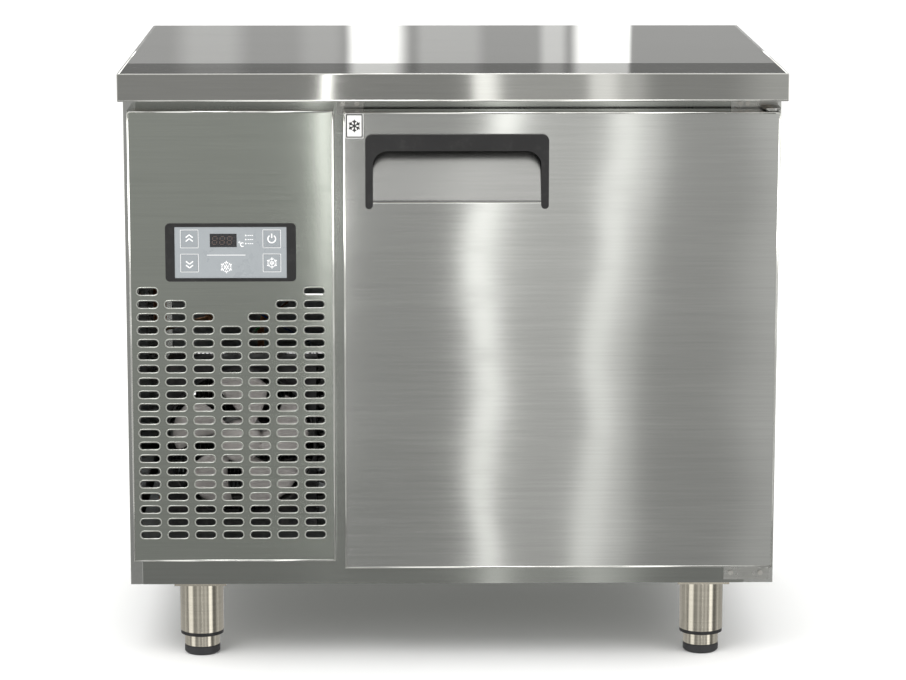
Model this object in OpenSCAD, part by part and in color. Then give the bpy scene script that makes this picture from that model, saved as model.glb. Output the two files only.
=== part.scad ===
// Under counter refrigerator with a left machine room and one right hinged door.
// Millimetres. X runs to the right, Y to the back, Z up. The origin is on the floor below the centre.

/* [Overall size] */
// Width of the worktop
width = 900; // [860:10:1100]
// Depth of the worktop
depth = 700; // [680:10:760]
// Height of the cabinet between its legs and the worktop
cabinet_height = 680.5; // [675.5:5:720.5]
// Height of the underside of the cabinet above the floor
leg_height = 107; // [105:1:140]

/* [Worktop] */
// Height of the folded edge all round the worktop
apron_height = 37.5; // [32:0.5:42]
// Thickness of the worktop sheet
worktop_sheet = 1.2; // [1:0.1:1.5]
// Distance from the worktop's front edge to the face of the cabinet frame
front_overhang = 58; // [57:1:64]

/* [Door] */
// Thickness of the door without its gasket
door_thickness = 40; // [38:1:41]
// Width of the band where the door laps over the frame
door_lap = 34; // [33:1:38]
// Width of the grip surround
handle_width = 247.2; // [200:1:300]
// Height of the grip surround
handle_height = 100.8; // [90:1:110]

/* [Machine room] */
// Width of the machine room front panel
panel_width = 277; // [270:1:285]
// Number of slot columns, an odd number
slot_columns = 7; // [3:2:7]
// Number of slot rows
slot_rows = 20; // [8:1:20]
// Length of one ventilation slot
slot_length = 28; // [20:1:32]
// Height of one ventilation slot
slot_height = 9.5; // [6:0.5:11]

/* [Legs] */
// Outside diameter of a leg tube
leg_diameter = 61; // [58:1:64]
// Diameter of a levelling foot
foot_diameter = 49.5; // [46:0.5:50]

/* [Hidden] */
$fn = 64;

sheet = 1;
gap = 0.3;
eps = 1;

// Cabinet shell
side_overhang = 3;
rear_overhang = 5;
side_x = width / 2 - side_overhang;
frame_y = front_overhang - depth / 2;
back_y = depth / 2 - rear_overhang;
base_z = leg_height;
cabinet_top = leg_height + cabinet_height;
worktop_top = cabinet_top + apron_height;
side_inner = side_x - sheet;
frame_back = frame_y + sheet;
back_inner = back_y - sheet;
floor_z = base_z + sheet;
ceiling_z = cabinet_top - sheet;
left_flange = 17;
rear_flange = 20;
frame_return = 11;

// Machine room front panel
panel_x = [9 - side_x, 9 - side_x + panel_width];
panel_z = [base_z + 46, cabinet_top - 13];
panel_front = frame_y - 53;
panel_middle = (panel_x[0] + panel_x[1]) / 2;
machine_wall = panel_x[1] - 5;
machine_sill = base_z + 58;
slot_pitch_x = 37.6;
slot_pitch_z = 17.82;
slot_middle = panel_middle - 1.7;
slot_top_z = panel_z[1] - 245.3;

// Door
door_x = [panel_x[1] + 13, side_x - 7];
door_z = [base_z + 35.5, cabinet_top - 15];
door_front = panel_front;
door_back = door_front + door_thickness;
open_x = [door_x[0] + door_lap, door_x[1] - door_lap];
open_z = [door_z[0] + door_lap, door_z[1] - door_lap];
gasket_inset = 14;
gasket_width = 14;
pan_height = 6;
pan_inset = 44;
hinge_x = door_x[1] - 10;
hinge_y = door_front + 20;
pin_radius = 4;
bush_radius = 7;
bush_length = 14;
bush_flange = 0.6;

// Grip
handle_x = door_x[0] + 29.5 + handle_width / 2;
handle_z = [door_z[1] - 29.5 - handle_height, door_z[1] - 29.5];
handle_bar = 22.3;
handle_side = 10.2;
handle_corner = 9;
handle_fillet = 20;
handle_proud = 5;
pocket_x = [handle_x - handle_width / 2 + 5.5, handle_x + handle_width / 2 - 5.5];
pocket_z = [handle_z[0] + 8, handle_z[1] - 5];
pocket_depth = 29;

// Cold compartment
liner_x = [open_x[0] - sheet, open_x[1] + sheet];
liner_z = [open_z[0] - sheet, open_z[1] + sheet];
liner_back = back_y - 45;
room_middle = (liner_x[0] + liner_x[1]) / 2;
room_height = liner_z[1] - liner_z[0];

// Hinge plates
plate = 3;
top_plate_z = [cabinet_top - 23.5, ceiling_z];
bottom_plate_z = [base_z + 5, door_z[0] - 1];
arm_top_z = door_z[1] + 1;
hinge_plate_x = [door_x[1] - 62, door_x[1] + 2];
blank_plate_x = [door_x[0] - 9, door_x[0] + 27];
screw_radius = 2;
screw_head = 3.4;
screw_length = 9;
top_screw_z = cabinet_top - 9;
bottom_screw_z = base_z + 15;
screw_sites = [
  [hinge_plate_x[0] + 13, top_screw_z], [hinge_plate_x[0] + 22.6, top_screw_z],
  [blank_plate_x[0] + 8, top_screw_z], [blank_plate_x[0] + 27, top_screw_z],
  [hinge_plate_x[0] + 10, bottom_screw_z], [hinge_plate_x[0] + 51, bottom_screw_z]
];

// Controller
control_x = panel_middle - 1;
control_z = panel_z[1] - 191.5;
control_size = [176.3, 79.3];
overlay_size = [151, 69.8];
control_wall = 2.2;
control_depth = 45;
display_size = [36.3, 18.4];
display_offset = [-9.8, 16.5];
button_size = [22.4, 22.9];
button_offset = [55.6, 18.6, -14.3];
button_depth = 5;
button_proud = 0.4;

// Condensing unit
unit_top = base_z + 58;
unit_x = [machine_wall - 274, machine_wall - 6];
unit_y = [frame_y + 17, back_y - 25];
fan_x = panel_middle + 4.5;
fan_z = unit_top + 131;
fan_radius = 98;
fan_ring = 103;
shroud_half = 105;
shroud_top = fan_z + shroud_half;
shroud_y = [frame_y + 77, frame_y + 167];
shroud_sheet = 1.5;
condenser_y = [shroud_y[1], shroud_y[1] + 65];
compressor_at = [fan_x - 5, frame_y + 375];
compressor_radius = 76;
compressor_foot = 18;
tray_y = [frame_y + 440, back_y - 45];
drain_at = [liner_x[0] + 55, liner_back - 45];
drain_radius = 6;
drain_z = base_z + 43;
line_y = liner_back - 20;
line_z = liner_z[1] - 40;
suction_radius = 5;
discharge_radius = 3.5;
capillary_radius = 1.5;
wire_radius = 1.6;
drier_at = [fan_x - 128, frame_y + 312];
drier_z = [unit_top + 255, unit_top + 355];
drier_neck = 14;
dome_radius = 105;
dome_z = unit_top + compressor_foot + 78;
shell_top = unit_top + compressor_foot + 150;
box_x = [5 - side_inner, 85 - side_inner];
box_y = [frame_y + 352, frame_y + 492];
box_z = [unit_top + 285, unit_top + 435];
gland_at = [fan_x, base_z + 73];
gland_radius = 8;
gland_bore = 4.5;

// Evaporator
cover_x = [room_middle - 206, room_middle + 206];
cover_y = [liner_back - 76, liner_back];
cover_z = [liner_z[1] - 200, liner_z[1] - 4];
cover_sheet = 1.2;
blower_x = cover_x[1] - 104;
blower_z = (cover_z[0] + cover_z[1]) / 2;
blower_radius = 70;
blower_opening = 76;

// Shelf
shelf_z = liner_z[0] + 0.49 * room_height;
shelf_x = [liner_x[0] + 8, liner_x[1] - 8];
shelf_y = [frame_back + 21, cover_y[0] - 24];
frame_wire = 3;
deck_wire = 1.5;
deck_wires = 25;
pilaster_depth = 4;
pilaster_width = 20;
pilaster_y = [shelf_y[0] + 50, shelf_y[1] - 60];
clip_height = 12;
clip_reach = 18;

// Legs
leg_x = side_x - 96.2;
leg_y = [frame_y + 37, back_y - 55];
leg_sites = [[-leg_x, leg_y[0]], [leg_x, leg_y[0]], [-leg_x, leg_y[1]], [leg_x, leg_y[1]]];
leg_wall = 1.5;
leg_plate = 3;
leg_plate_size = 72;
tube_end = 33.8;
collar_end = 28.8;
bush_top = 70;
foot_split = 12.9;
foot_top = 90;

// ---- helpers ----

// A block from one corner to the other, each argument a [low, high] pair.
module block(x, y, z) {
  translate([x[0], y[0], z[0]]) cube([x[1] - x[0], y[1] - y[0], z[1] - z[0]]);
}

// Stands a flat outline drawn in X and Z upright between two Y values.
module upright(y) {
  translate([0, y[1], 0]) rotate([90, 0, 0]) linear_extrude(y[1] - y[0]) children();
}

module rect(x, z) {
  translate([x[0], z[0]]) square([x[1] - x[0], z[1] - z[0]]);
}

module rounded(x, z, r) {
  rect([x[0] + r, x[1] - r], z);
  rect(x, [z[0] + r, z[1] - r]);
  for (cx = [x[0] + r, x[1] - r], cz = [z[0] + r, z[1] - r]) translate([cx, cz]) circle(r);
}

module slot_outline(length, height) {
  square([length - height, height], center = true);
  for (side = [-1, 1]) translate([side * (length - height) / 2, 0]) circle(height / 2);
}

// A straight round bar between two points.
module bar(a, b, r) {
  d = b - a;
  length = norm(d);
  translate(a) rotate([0, acos(d[2] / length), atan2(d[1], d[0])]) cylinder(r = r, h = length);
}

// A tube or wire through a list of points, with slightly swollen bends.
module pipe(route, r) {
  for (i = [0:len(route) - 2]) bar(route[i], route[i + 1], r);
  for (i = [1:max(1, len(route) - 2)]) translate(route[i]) sphere(r = r * 1.03);
}

// Pushes an axis drawn along Z so that it points to the front.
module facing_front(at, y) {
  translate([at[0], y, at[1]]) rotate([90, 0, 0]) children();
}

module screw_holes() {
  for (site = screw_sites)
    facing_front(site, frame_y + screw_length) cylinder(r = screw_radius, h = screw_length + plate + eps);
}

// ---- worktop and shell ----

module worktop() {
  half = [width / 2, depth / 2];
  lip = 15;
  color("Silver") difference() {
    block([-half[0], half[0]], [-half[1], half[1]], [cabinet_top, worktop_top]);
    block([worktop_sheet - half[0], half[0] - worktop_sheet],
      [worktop_sheet - half[1], half[1] - worktop_sheet],
      [cabinet_top + sheet, worktop_top - worktop_sheet]);
    block([lip - half[0], half[0] - lip], [lip - half[1], half[1] - lip],
      [cabinet_top - eps, cabinet_top + 2 * sheet]);
  }
}

module worktop_core() {
  inset = 16;
  color("BurlyWood") block([inset - width / 2, width / 2 - inset], [inset - depth / 2, depth / 2 - inset],
    [cabinet_top, worktop_top - worktop_sheet]);
}

module side_panel_left() {
  color("Gainsboro") {
    block([-side_x, -side_inner], [frame_y, back_y], [base_z, cabinet_top]);
    block([-side_x, left_flange - side_x], [frame_y, frame_back], [base_z, cabinet_top]);
    block([-side_x, rear_flange - side_x], [back_inner, back_y], [base_z, cabinet_top]);
  }
}

module side_panel_right() {
  color("Gainsboro") difference() {
    union() {
      block([side_inner, side_x], [frame_y, back_y], [base_z, cabinet_top]);
      block([open_x[1], side_x], [frame_y, frame_back], [base_z, cabinet_top]);
      block([open_x[1], open_x[1] + sheet], [frame_y, frame_back + frame_return], open_z);
      block([side_x - rear_flange, side_x], [back_inner, back_y], [base_z, cabinet_top]);
    }
    screw_holes();
  }
}

module back_panel() {
  vent_length = 60;
  vent_height = 7;
  vent_pitch = 22;
  vent_rows = 20;
  edge = side_x - rear_flange;
  color("LightGray") upright([back_inner, back_y]) difference() {
    rect([-edge, edge], [base_z, cabinet_top]);
    for (column = [-1:1], row = [0:vent_rows - 1])
      translate([fan_x + column * (vent_length + 15), base_z + 120 + row * vent_pitch])
        slot_outline(vent_length, vent_height);
    translate(gland_at) circle(gland_radius);
  }
}

module top_panel() {
  color("LightGray") difference() {
    union() {
      block([-side_inner, side_inner], [frame_back, back_inner], [ceiling_z, cabinet_top]);
      block([left_flange - side_x, open_x[1]], [frame_y, frame_back], [cabinet_top - 32, cabinet_top]);
      block([machine_wall, open_x[1]], [frame_y, frame_back], [open_z[1], cabinet_top]);
      block(open_x, [frame_y, frame_back + frame_return], [open_z[1], open_z[1] + sheet]);
    }
    screw_holes();
  }
}

module base_panel() {
  color("LightGray") difference() {
    union() {
      block([-side_inner, side_inner], [frame_back, back_inner], [base_z, floor_z]);
      block([left_flange - side_x, open_x[1]], [frame_y, frame_back], [base_z, machine_sill]);
      block([machine_wall, open_x[1]], [frame_y, frame_back], [base_z, open_z[0]]);
      block(open_x, [frame_y, frame_back + frame_return], [open_z[0] - sheet, open_z[0]]);
    }
    screw_holes();
  }
}

module mullion() {
  color("Gainsboro") {
    block([machine_wall, open_x[0]], [frame_y, frame_back], open_z);
    block([open_x[0] - sheet, open_x[0]], [frame_y, frame_back + frame_return], open_z);
  }
}

module divider_panel() {
  color("Silver") difference() {
    block([machine_wall, machine_wall + sheet], [frame_back, back_inner], [floor_z, ceiling_z]);
    drain_route_solid();
    line_passage();
  }
}

// ---- cold compartment ----

module drain_route_solid() {
  outlet_x = machine_wall - 34;
  pipe([[drain_at[0], drain_at[1], liner_z[0]], [drain_at[0], drain_at[1], drain_z + 2],
    [outlet_x, drain_at[1], drain_z], [outlet_x, drain_at[1], drain_z - 9]], drain_radius);
}

module line_passage() {
  bar([machine_wall - 2, line_y, line_z], [liner_x[0] + 2, line_y, line_z], suction_radius);
}

module inner_liner() {
  outer_x = [liner_x[0] - sheet, liner_x[1] + sheet];
  outer_z = [liner_z[0] - sheet, liner_z[1] + sheet];
  color("WhiteSmoke") difference() {
    block(outer_x, [frame_back, liner_back + sheet], outer_z);
    block(liner_x, [frame_back - eps, liner_back], liner_z);
    translate([drain_at[0], drain_at[1], liner_z[0] - 2 * sheet]) cylinder(r = drain_radius, h = 3 * sheet);
    line_passage();
  }
}

module insulation() {
  color("Khaki") difference() {
    block([machine_wall + sheet, side_inner], [frame_back, back_inner], [floor_z, ceiling_z]);
    block([liner_x[0] - sheet, liner_x[1] + sheet], [frame_back - eps, liner_back + sheet],
      [liner_z[0] - sheet, liner_z[1] + sheet]);
    drain_route_solid();
    line_passage();
    screw_holes();
  }
}

module drain_pipe() {
  color("White") difference() {
    drain_route_solid();
    translate([drain_at[0], drain_at[1], drain_z + 10]) cylinder(r = drain_radius - 1.5, h = 100);
  }
}

module evaporator_cover() {
  grille_pitch = 14;
  slots = 9;
  guard_rings = [20, 40, 60];
  front = [cover_y[0], cover_y[0] + cover_sheet];
  color("Gainsboro") {
    difference() {
      block(cover_x, cover_y, cover_z);
      block([cover_x[0] + cover_sheet, cover_x[1] - cover_sheet], [cover_y[0] - eps, cover_y[1] + eps],
        [cover_z[0] + cover_sheet, cover_z[1] - cover_sheet]);
      bar([cover_x[0] - eps, line_y, line_z], [cover_x[0] + 3, line_y, line_z], suction_radius + gap);
    }
    upright(front) difference() {
      rect(cover_x, cover_z);
      translate([blower_x, blower_z]) circle(blower_opening);
      for (i = [0:slots - 1])
        translate([cover_x[0] + 110, cover_z[0] + 42 + i * grille_pitch]) slot_outline(150, 6);
    }
    upright(front) translate([blower_x, blower_z]) {
      for (r = guard_rings) difference() {
        circle(r);
        circle(r - 2.5);
      }
      for (turn = [0:45:135]) rotate(turn) square([2 * blower_opening + 2, 3], center = true);
    }
  }
}

module evaporator_coil() {
  coil_x = [cover_x[0] + 14, cover_x[0] + 196];
  rows = 5;
  pitch = 28;
  fins = 26;
  tube = 4.5;
  y = [liner_back - 46, liner_back - 18];
  first = cover_z[0] + 40;
  color("LightSteelBlue") {
    for (i = [0:fins - 1])
      translate([coil_x[0] + 8 + i * (coil_x[1] - coil_x[0] - 16.5) / (fins - 1), y[0] - 12, cover_z[0] + 22])
        cube([0.5, y[1] - y[0] + 24, rows * pitch + 8]);
    for (row = [0:rows - 1], line = y)
      bar([coil_x[0] + 2, line, first + row * pitch], [coil_x[1] - 2, line, first + row * pitch], tube);
    for (end_x = [coil_x[0], coil_x[1] - 1.5])
      block([end_x, end_x + 1.5], [y[0] - 13, liner_back], [cover_z[0] + 20, cover_z[0] + 32 + rows * pitch]);
  }
}

module evaporator_motor() {
  color("DimGray") {
    facing_front([blower_x, blower_z], liner_back - 10) cylinder(r = 28, h = 34);
    facing_front([blower_x, blower_z], liner_back - 44) cylinder(r = pin_radius, h = 16);
    block([blower_x - 60, blower_x + 60], [liner_back - 10, liner_back - 8], [blower_z - 9, blower_z + 9]);
    for (side = [-1, 1])
      block([blower_x + side * 55 - 5, blower_x + side * 55 + 5], [liner_back - 8, liner_back],
        [blower_z - 9, blower_z + 9]);
  }
}

// A fan that faces up, with its bore open at the bottom.
module fan_wheel(radius, hub, height, blades, chord, pitch, bore) {
  blade = 1.6;
  difference() {
    union() {
      cylinder(r = hub, h = height);
      for (i = [0:blades - 1]) rotate(i * 360 / blades) intersection() {
        translate([hub * 0.7, -chord / 2, 0]) translate([0, chord / 2, height / 2])
          rotate([pitch, 0, 0]) translate([0, -chord / 2, -blade / 2]) cube([radius, chord, blade]);
        cylinder(r = radius, h = height);
      }
    }
    translate([0, 0, -eps]) cylinder(r = bore, h = height - 3 + eps);
  }
}

module evaporator_fan() {
  color("Black") facing_front([blower_x, blower_z], liner_back - 46)
    fan_wheel(blower_radius, 20, 20, 5, 52, 20, pin_radius + gap);
}

module shelf_pilasters() {
  hole_pitch = 25;
  margin = 40;
  holes = floor((room_height - 2 * margin - 20) / hole_pitch);
  color("Silver") for (x = [liner_x[0], liner_x[1] - pilaster_depth], y = pilaster_y) difference() {
    block([x, x + pilaster_depth], [y - pilaster_width / 2, y + pilaster_width / 2],
      [liner_z[0] + margin, liner_z[1] - margin]);
    for (i = [0:holes - 1]) translate([x - eps, y, liner_z[0] + margin + 15 + i * hole_pitch])
      cube([pilaster_depth + 2 * eps, 10, 4], center = false);
  }
}

module shelf_clips() {
  color("Silver") for (side = [-1, 1], y = pilaster_y) {
    wall = side < 0 ? liner_x[0] + pilaster_depth : liner_x[1] - pilaster_depth;
    reach = [min(wall, wall - side * clip_reach), max(wall, wall - side * clip_reach)];
    root = [min(wall, wall - side * 3), max(wall, wall - side * 3)];
    block(reach, [y - 8, y + 8], [shelf_z - 3, shelf_z]);
    block(root, [y - 8, y + 8], [shelf_z - clip_height, shelf_z]);
  }
}

module wire_shelf() {
  z = shelf_z + gap + frame_wire;
  x = [shelf_x[0] + frame_wire, shelf_x[1] - frame_wire];
  y = [shelf_y[0] + frame_wire, shelf_y[1] - frame_wire];
  deck_z = z + frame_wire + deck_wire - 0.4;
  color("WhiteSmoke") {
    for (end_y = [y[0], (y[0] + y[1]) / 2, y[1]]) bar([x[0], end_y, z], [x[1], end_y, z], frame_wire);
    for (end_x = x) bar([end_x, y[0], z], [end_x, y[1], z], frame_wire);
    for (corner_x = x, corner_y = y) translate([corner_x, corner_y, z]) sphere(r = frame_wire * 1.03);
    for (i = [1:deck_wires]) {
      wire_x = x[0] + i * (x[1] - x[0]) / (deck_wires + 1);
      bar([wire_x, y[0] - 1, deck_z], [wire_x, y[1] + 1, deck_z], deck_wire);
    }
  }
}

// ---- machine room ----

module front_panel() {
  back = frame_y - gap;
  cut = overlay_size / 2 + [control_wall, control_wall];
  color("Silver") {
    upright([panel_front, panel_front + sheet]) difference() {
      rect(panel_x, panel_z);
      rect([control_x - cut[0], control_x + cut[0]], [control_z - cut[1], control_z + cut[1]]);
      for (row = [0:slot_rows - 1], column = [-(slot_columns - 1) / 2:(slot_columns - 1) / 2])
        if (abs(column) >= 3 - row)
          translate([slot_middle + column * slot_pitch_x, slot_top_z - row * slot_pitch_z])
            slot_outline(slot_length, slot_height);
    }
    difference() {
      block(panel_x, [panel_front, back], panel_z);
      block([panel_x[0] + sheet, panel_x[1] - sheet], [panel_front - eps, back + eps],
        [panel_z[0] + sheet, panel_z[1] - sheet]);
    }
  }
}

module controller_frame() {
  half = control_size / 2;
  inner = overlay_size / 2;
  body = inner + [control_wall, control_wall];
  color("Black") {
    upright([panel_front - 2.5, panel_front]) difference() {
      rounded([control_x - half[0], control_x + half[0]], [control_z - half[1], control_z + half[1]], 6);
      rect([control_x - inner[0], control_x + inner[0]], [control_z - inner[1], control_z + inner[1]]);
    }
    upright([panel_front, panel_front + control_depth]) difference() {
      rect([control_x - body[0], control_x + body[0]], [control_z - body[1], control_z + body[1]]);
      rect([control_x - inner[0], control_x + inner[0]], [control_z - inner[1], control_z + inner[1]]);
    }
  }
}

module controller_board() {
  half = overlay_size / 2;
  color("DarkGreen") block([control_x - half[0], control_x + half[0]], [panel_front + 8, panel_front + 9.6],
    [control_z - half[1], control_z + half[1]]);
  color("Black") block([control_x - 60, control_x - 20], [panel_front + 9.6, panel_front + 28],
    [control_z - 20, control_z + 20]);
}

function button_site(i) = [control_x + (i % 2 == 0 ? -1 : 1) * button_offset[0],
  control_z + button_offset[i < 2 ? 1 : 2]];

module display_outline(grow) {
  at = [control_x + display_offset[0], control_z + display_offset[1]];
  half = display_size / 2 + [grow, grow];
  rect([at[0] - half[0], at[0] + half[0]], [at[1] - half[1], at[1] + half[1]]);
}

module button_outline(i, grow) {
  at = button_site(i);
  half = button_size / 2 + [grow, grow];
  rect([at[0] - half[0], at[0] + half[0]], [at[1] - half[1], at[1] + half[1]]);
}

module controller_overlay() {
  half = overlay_size / 2;
  color("Gainsboro") upright([panel_front - 2, panel_front - 1]) difference() {
    rect([control_x - half[0], control_x + half[0]], [control_z - half[1], control_z + half[1]]);
    display_outline(0);
    for (i = [0:3]) button_outline(i, gap);
  }
}

module display_window() {
  color("DarkSlateGray") upright([panel_front - 2, panel_front + 8]) display_outline(0);
}

module button(i) {
  front = panel_front - 2 - button_proud;
  color("LightGray") upright([front, front + button_depth]) button_outline(i, 0);
}

module unit_base() {
  thickness = 2;
  color("Silver") difference() {
    union() {
      block(unit_x, unit_y, [unit_top - thickness, unit_top]);
      for (x = [unit_x[0], unit_x[1] - thickness]) block([x, x + thickness], unit_y, [floor_z, unit_top]);
    }
    drain_route_solid();
  }
}

module compressor_dome() {
  translate([compressor_at[0], compressor_at[1], dome_z]) sphere(r = dome_radius);
}

module compressor() {
  base = unit_top + compressor_foot;
  color([0.12, 0.12, 0.13]) intersection() {
    compressor_dome();
    translate([compressor_at[0], compressor_at[1], base + 10]) cylinder(r = compressor_radius, h = 250);
  }
  color([0.12, 0.12, 0.13]) translate([compressor_at[0], compressor_at[1], 0]) {
    translate([0, 0, base + 62]) cylinder(r = compressor_radius + 4, h = 7);
    translate([-90, -60, base]) cube([180, 120, 4]);
    translate([0, 0, base + 3]) cylinder(r = compressor_radius - 10, h = 20);
  }
}

module compressor_mounts() {
  color("Black") for (sx = [-1, 1], sy = [-1, 1])
    translate([compressor_at[0] + sx * 78, compressor_at[1] + sy * 48, unit_top]) {
      cylinder(r = 11, h = compressor_foot / 2);
      cylinder(r = 8, h = compressor_foot);
    }
}

module terminal_cover() {
  x = compressor_at[0] + compressor_radius + 5;
  z = unit_top + compressor_foot + 75;
  color("Black") block([x, x + 34], [compressor_at[1] - 32, compressor_at[1] + 32], [z, z + 62]);
}

module condenser_coil() {
  x = [fan_x - shroud_half, fan_x + shroud_half];
  z = [unit_top, shroud_top];
  rows = 8;
  pitch = 27.5;
  fins = 34;
  tube = 4.5;
  lines = [condenser_y[0] + 18, condenser_y[0] + 46];
  first = z[0] + 22;
  bend = tube + 1.5;
  color("DimGray") {
    for (i = [0:fins - 1])
      translate([x[0] + 6 + i * (x[1] - x[0] - 12.4) / (fins - 1), condenser_y[0] + 4, z[0] + 4])
        cube([0.4, condenser_y[1] - condenser_y[0] - 8, z[1] - z[0] - 8]);
    for (end_x = [x[0], x[1] - 2]) block([end_x, end_x + 2], condenser_y, z);
    for (row = [0:rows - 1], line = lines)
      bar([x[0] - 6, line, first + row * pitch], [x[1] + 6, line, first + row * pitch], tube);
    for (row = [0:rows - 1], end_x = [x[0] - 6, x[1] + 6])
      bar([end_x, lines[0] - bend, first + row * pitch], [end_x, lines[1] + bend, first + row * pitch],
        bend - 0.8);
  }
}

module fan_shroud() {
  x = [fan_x - shroud_half, fan_x + shroud_half];
  z = [unit_top, shroud_top];
  color([0.1, 0.1, 0.1]) difference() {
    union() {
      difference() {
        block(x, shroud_y, z);
        block([x[0] + shroud_sheet, x[1] - shroud_sheet], [shroud_y[0] + shroud_sheet, shroud_y[1] + eps],
          [z[0] - eps, z[1] - shroud_sheet]);
      }
      facing_front([fan_x, fan_z], shroud_y[0] + shroud_sheet) cylinder(r = fan_ring + 1.6, h = 27);
    }
    facing_front([fan_x, fan_z], shroud_y[0] + 3 * shroud_sheet) cylinder(r = fan_ring, h = 40);
    translate([fan_x, shroud_y[0] + 45, z[1] - 3]) cylinder(r = 5, h = 6);
  }
}

module condenser_motor() {
  color("DimGray") {
    facing_front([fan_x, fan_z], shroud_y[0] + 65) cylinder(r = 35, h = 58);
    facing_front([fan_x, fan_z], shroud_y[0] + 8) cylinder(r = pin_radius, h = 24);
    block([fan_x - shroud_half + shroud_sheet, fan_x + shroud_half - shroud_sheet],
      [shroud_y[0] + 65, shroud_y[0] + 68], [fan_z - 10, fan_z + 10]);
  }
}

module condenser_fan() {
  color("MistyRose") facing_front([fan_x, fan_z], shroud_y[0] + 2)
    fan_wheel(fan_radius, 30, 24, 5, 78, 24, pin_radius + gap);
}

module filter_drier() {
  body = 9.5;
  color("Peru") translate([drier_at[0], drier_at[1], 0]) {
    translate([0, 0, drier_z[0]]) cylinder(r = body, h = drier_z[1] - drier_z[0]);
    translate([0, 0, drier_z[0] - drier_neck]) cylinder(r1 = discharge_radius, r2 = body, h = drier_neck);
    translate([0, 0, drier_z[1]]) cylinder(r1 = body, r2 = capillary_radius + 1, h = drier_neck);
  }
}

// The hot line from the compressor's shell to the condenser, over the shroud.
module discharge_line() {
  left = fan_x - shroud_half - 16;
  high = shell_top + 90;
  out = compressor_at + [-45, -30];
  pipe([[out[0], out[1], shell_top], [out[0], out[1], high], [left, condenser_y[1] + 12, high],
    [left, condenser_y[1] - 19, high], [left, condenser_y[1] - 19, shroud_top - 12]], discharge_radius);
}

// The cold line from the evaporator back to the compressor's shell.
module suction_line() {
  back = compressor_at + [20, 40];
  run_x = machine_wall - 30;
  pipe([[back[0], back[1], shell_top], [back[0], back[1], shell_top + 60],
    [run_x, line_y - 30, line_z - 60], [run_x, line_y, line_z],
    [cover_x[0] + 13, line_y, line_z]], suction_radius);
}

// The line from the foot of the condenser up to the drier.
module liquid_line() {
  left = fan_x - shroud_half - 16;
  low = unit_top + 22;
  pipe([[left, condenser_y[1] - 47, low], [left, condenser_y[1] + 30, low],
    [drier_at[0], drier_at[1], unit_top + 90],
    [drier_at[0], drier_at[1], drier_z[0] - drier_neck]], discharge_radius);
}

// The thin coiled line that feeds the evaporator.
module capillary() {
  turns = 4;
  turn_radius = 34;
  coil = [fan_x - 28, frame_y + 232, unit_top + 300];
  top = drier_z[1] + drier_neck;
  for (i = [0:turns - 1]) translate(coil + [0, 4 * i, 3 * i]) rotate([78, 0, 0])
    rotate_extrude() translate([turn_radius, 0]) circle(capillary_radius);
  pipe([[drier_at[0], drier_at[1], top], [drier_at[0], drier_at[1], top + 16],
    [coil[0] - turn_radius, coil[1], coil[2]]], capillary_radius);
}

module refrigerant_lines() {
  color("Peru") difference() {
    union() {
      discharge_line();
      suction_line();
    }
    compressor_dome();
  }
  color("Peru") liquid_line();
  color("Peru") capillary();
}

module condensate_tray() {
  x = [unit_x[0] + 8, unit_x[1] - 8];
  wall = 2;
  color("Black") difference() {
    block(x, tray_y, [floor_z, floor_z + 32]);
    block([x[0] + wall, x[1] - wall], [tray_y[0] + wall, tray_y[1] - wall], [floor_z + wall, floor_z + 40]);
  }
}

module electrical_box() {
  color("WhiteSmoke") difference() {
    block(box_x, box_y, box_z);
    block([box_x[0] + 2, box_x[1] - 2], [box_y[0] + 2, box_y[1] - 2], [box_z[0] + 2, box_z[1] - 2]);
    bar([box_x[1] - 20, box_y[0] - eps, box_z[0] + 25], [box_x[1] - 20, box_y[0] + 4, box_z[0] + 25], 6);
  }
}

module wiring() {
  exit = [box_x[1] - 20, box_y[0] + 6, box_z[0] + 25];
  shroud_hole = [fan_x, shroud_y[0] + 45];
  terminal = [compressor_at[0] + 95, compressor_at[1] - 10, unit_top + compressor_foot + 137];
  board = [control_x + 10, panel_front + 9.7, control_z - 10];
  color("White") {
    pipe([exit + [-3, 0, -2], exit + [-3, -16, -2], [fan_x + 66, frame_y + 247, shroud_top + 66],
      [shroud_hole[0], shroud_hole[1], shroud_top + 25],
      [shroud_hole[0], shroud_hole[1], fan_z + 35]], wire_radius);
    pipe([exit + [3, 0, -2], exit + [3, -14, -2], exit + [60, -25, -20], terminal + [0, 0, 60], terminal],
      wire_radius);
    pipe([exit + [0, 0, 3], exit + [0, -18, 3], exit + [20, -180, 30], board + [0, 50.3, 0], board],
      wire_radius);
  }
}

module power_gland() {
  color("Black") difference() {
    union() {
      facing_front(gland_at, back_y + 4) cylinder(r = gland_radius + 5, h = 4);
      facing_front(gland_at, back_y) cylinder(r = gland_radius, h = 12);
      facing_front(gland_at, back_inner) cylinder(r = gland_radius + 4, h = 5, $fn = 6);
    }
    facing_front(gland_at, back_y + 4 + eps) cylinder(r = gland_bore, h = 16 + 2 * eps);
  }
}

// ---- hinges ----

// A hinge plate on the frame with an arm that carries the door pin.
module hinge_plate(z, arm_z, pin_z) {
  arm_half = 12;
  difference() {
    union() {
      block(hinge_plate_x, [frame_y - plate, frame_y], z);
      block([hinge_x - arm_half, hinge_x + arm_half], [hinge_y, frame_y], arm_z);
      translate([hinge_x, hinge_y, arm_z[0]]) cylinder(r = arm_half, h = plate);
      translate([hinge_x, hinge_y, pin_z[0]]) cylinder(r = pin_radius, h = pin_z[1] - pin_z[0]);
    }
    screw_holes();
  }
}

module hinge_top() {
  color("Silver")
    hinge_plate(top_plate_z, [arm_top_z, arm_top_z + plate], [door_z[1] - 12, arm_top_z + plate]);
}

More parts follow.
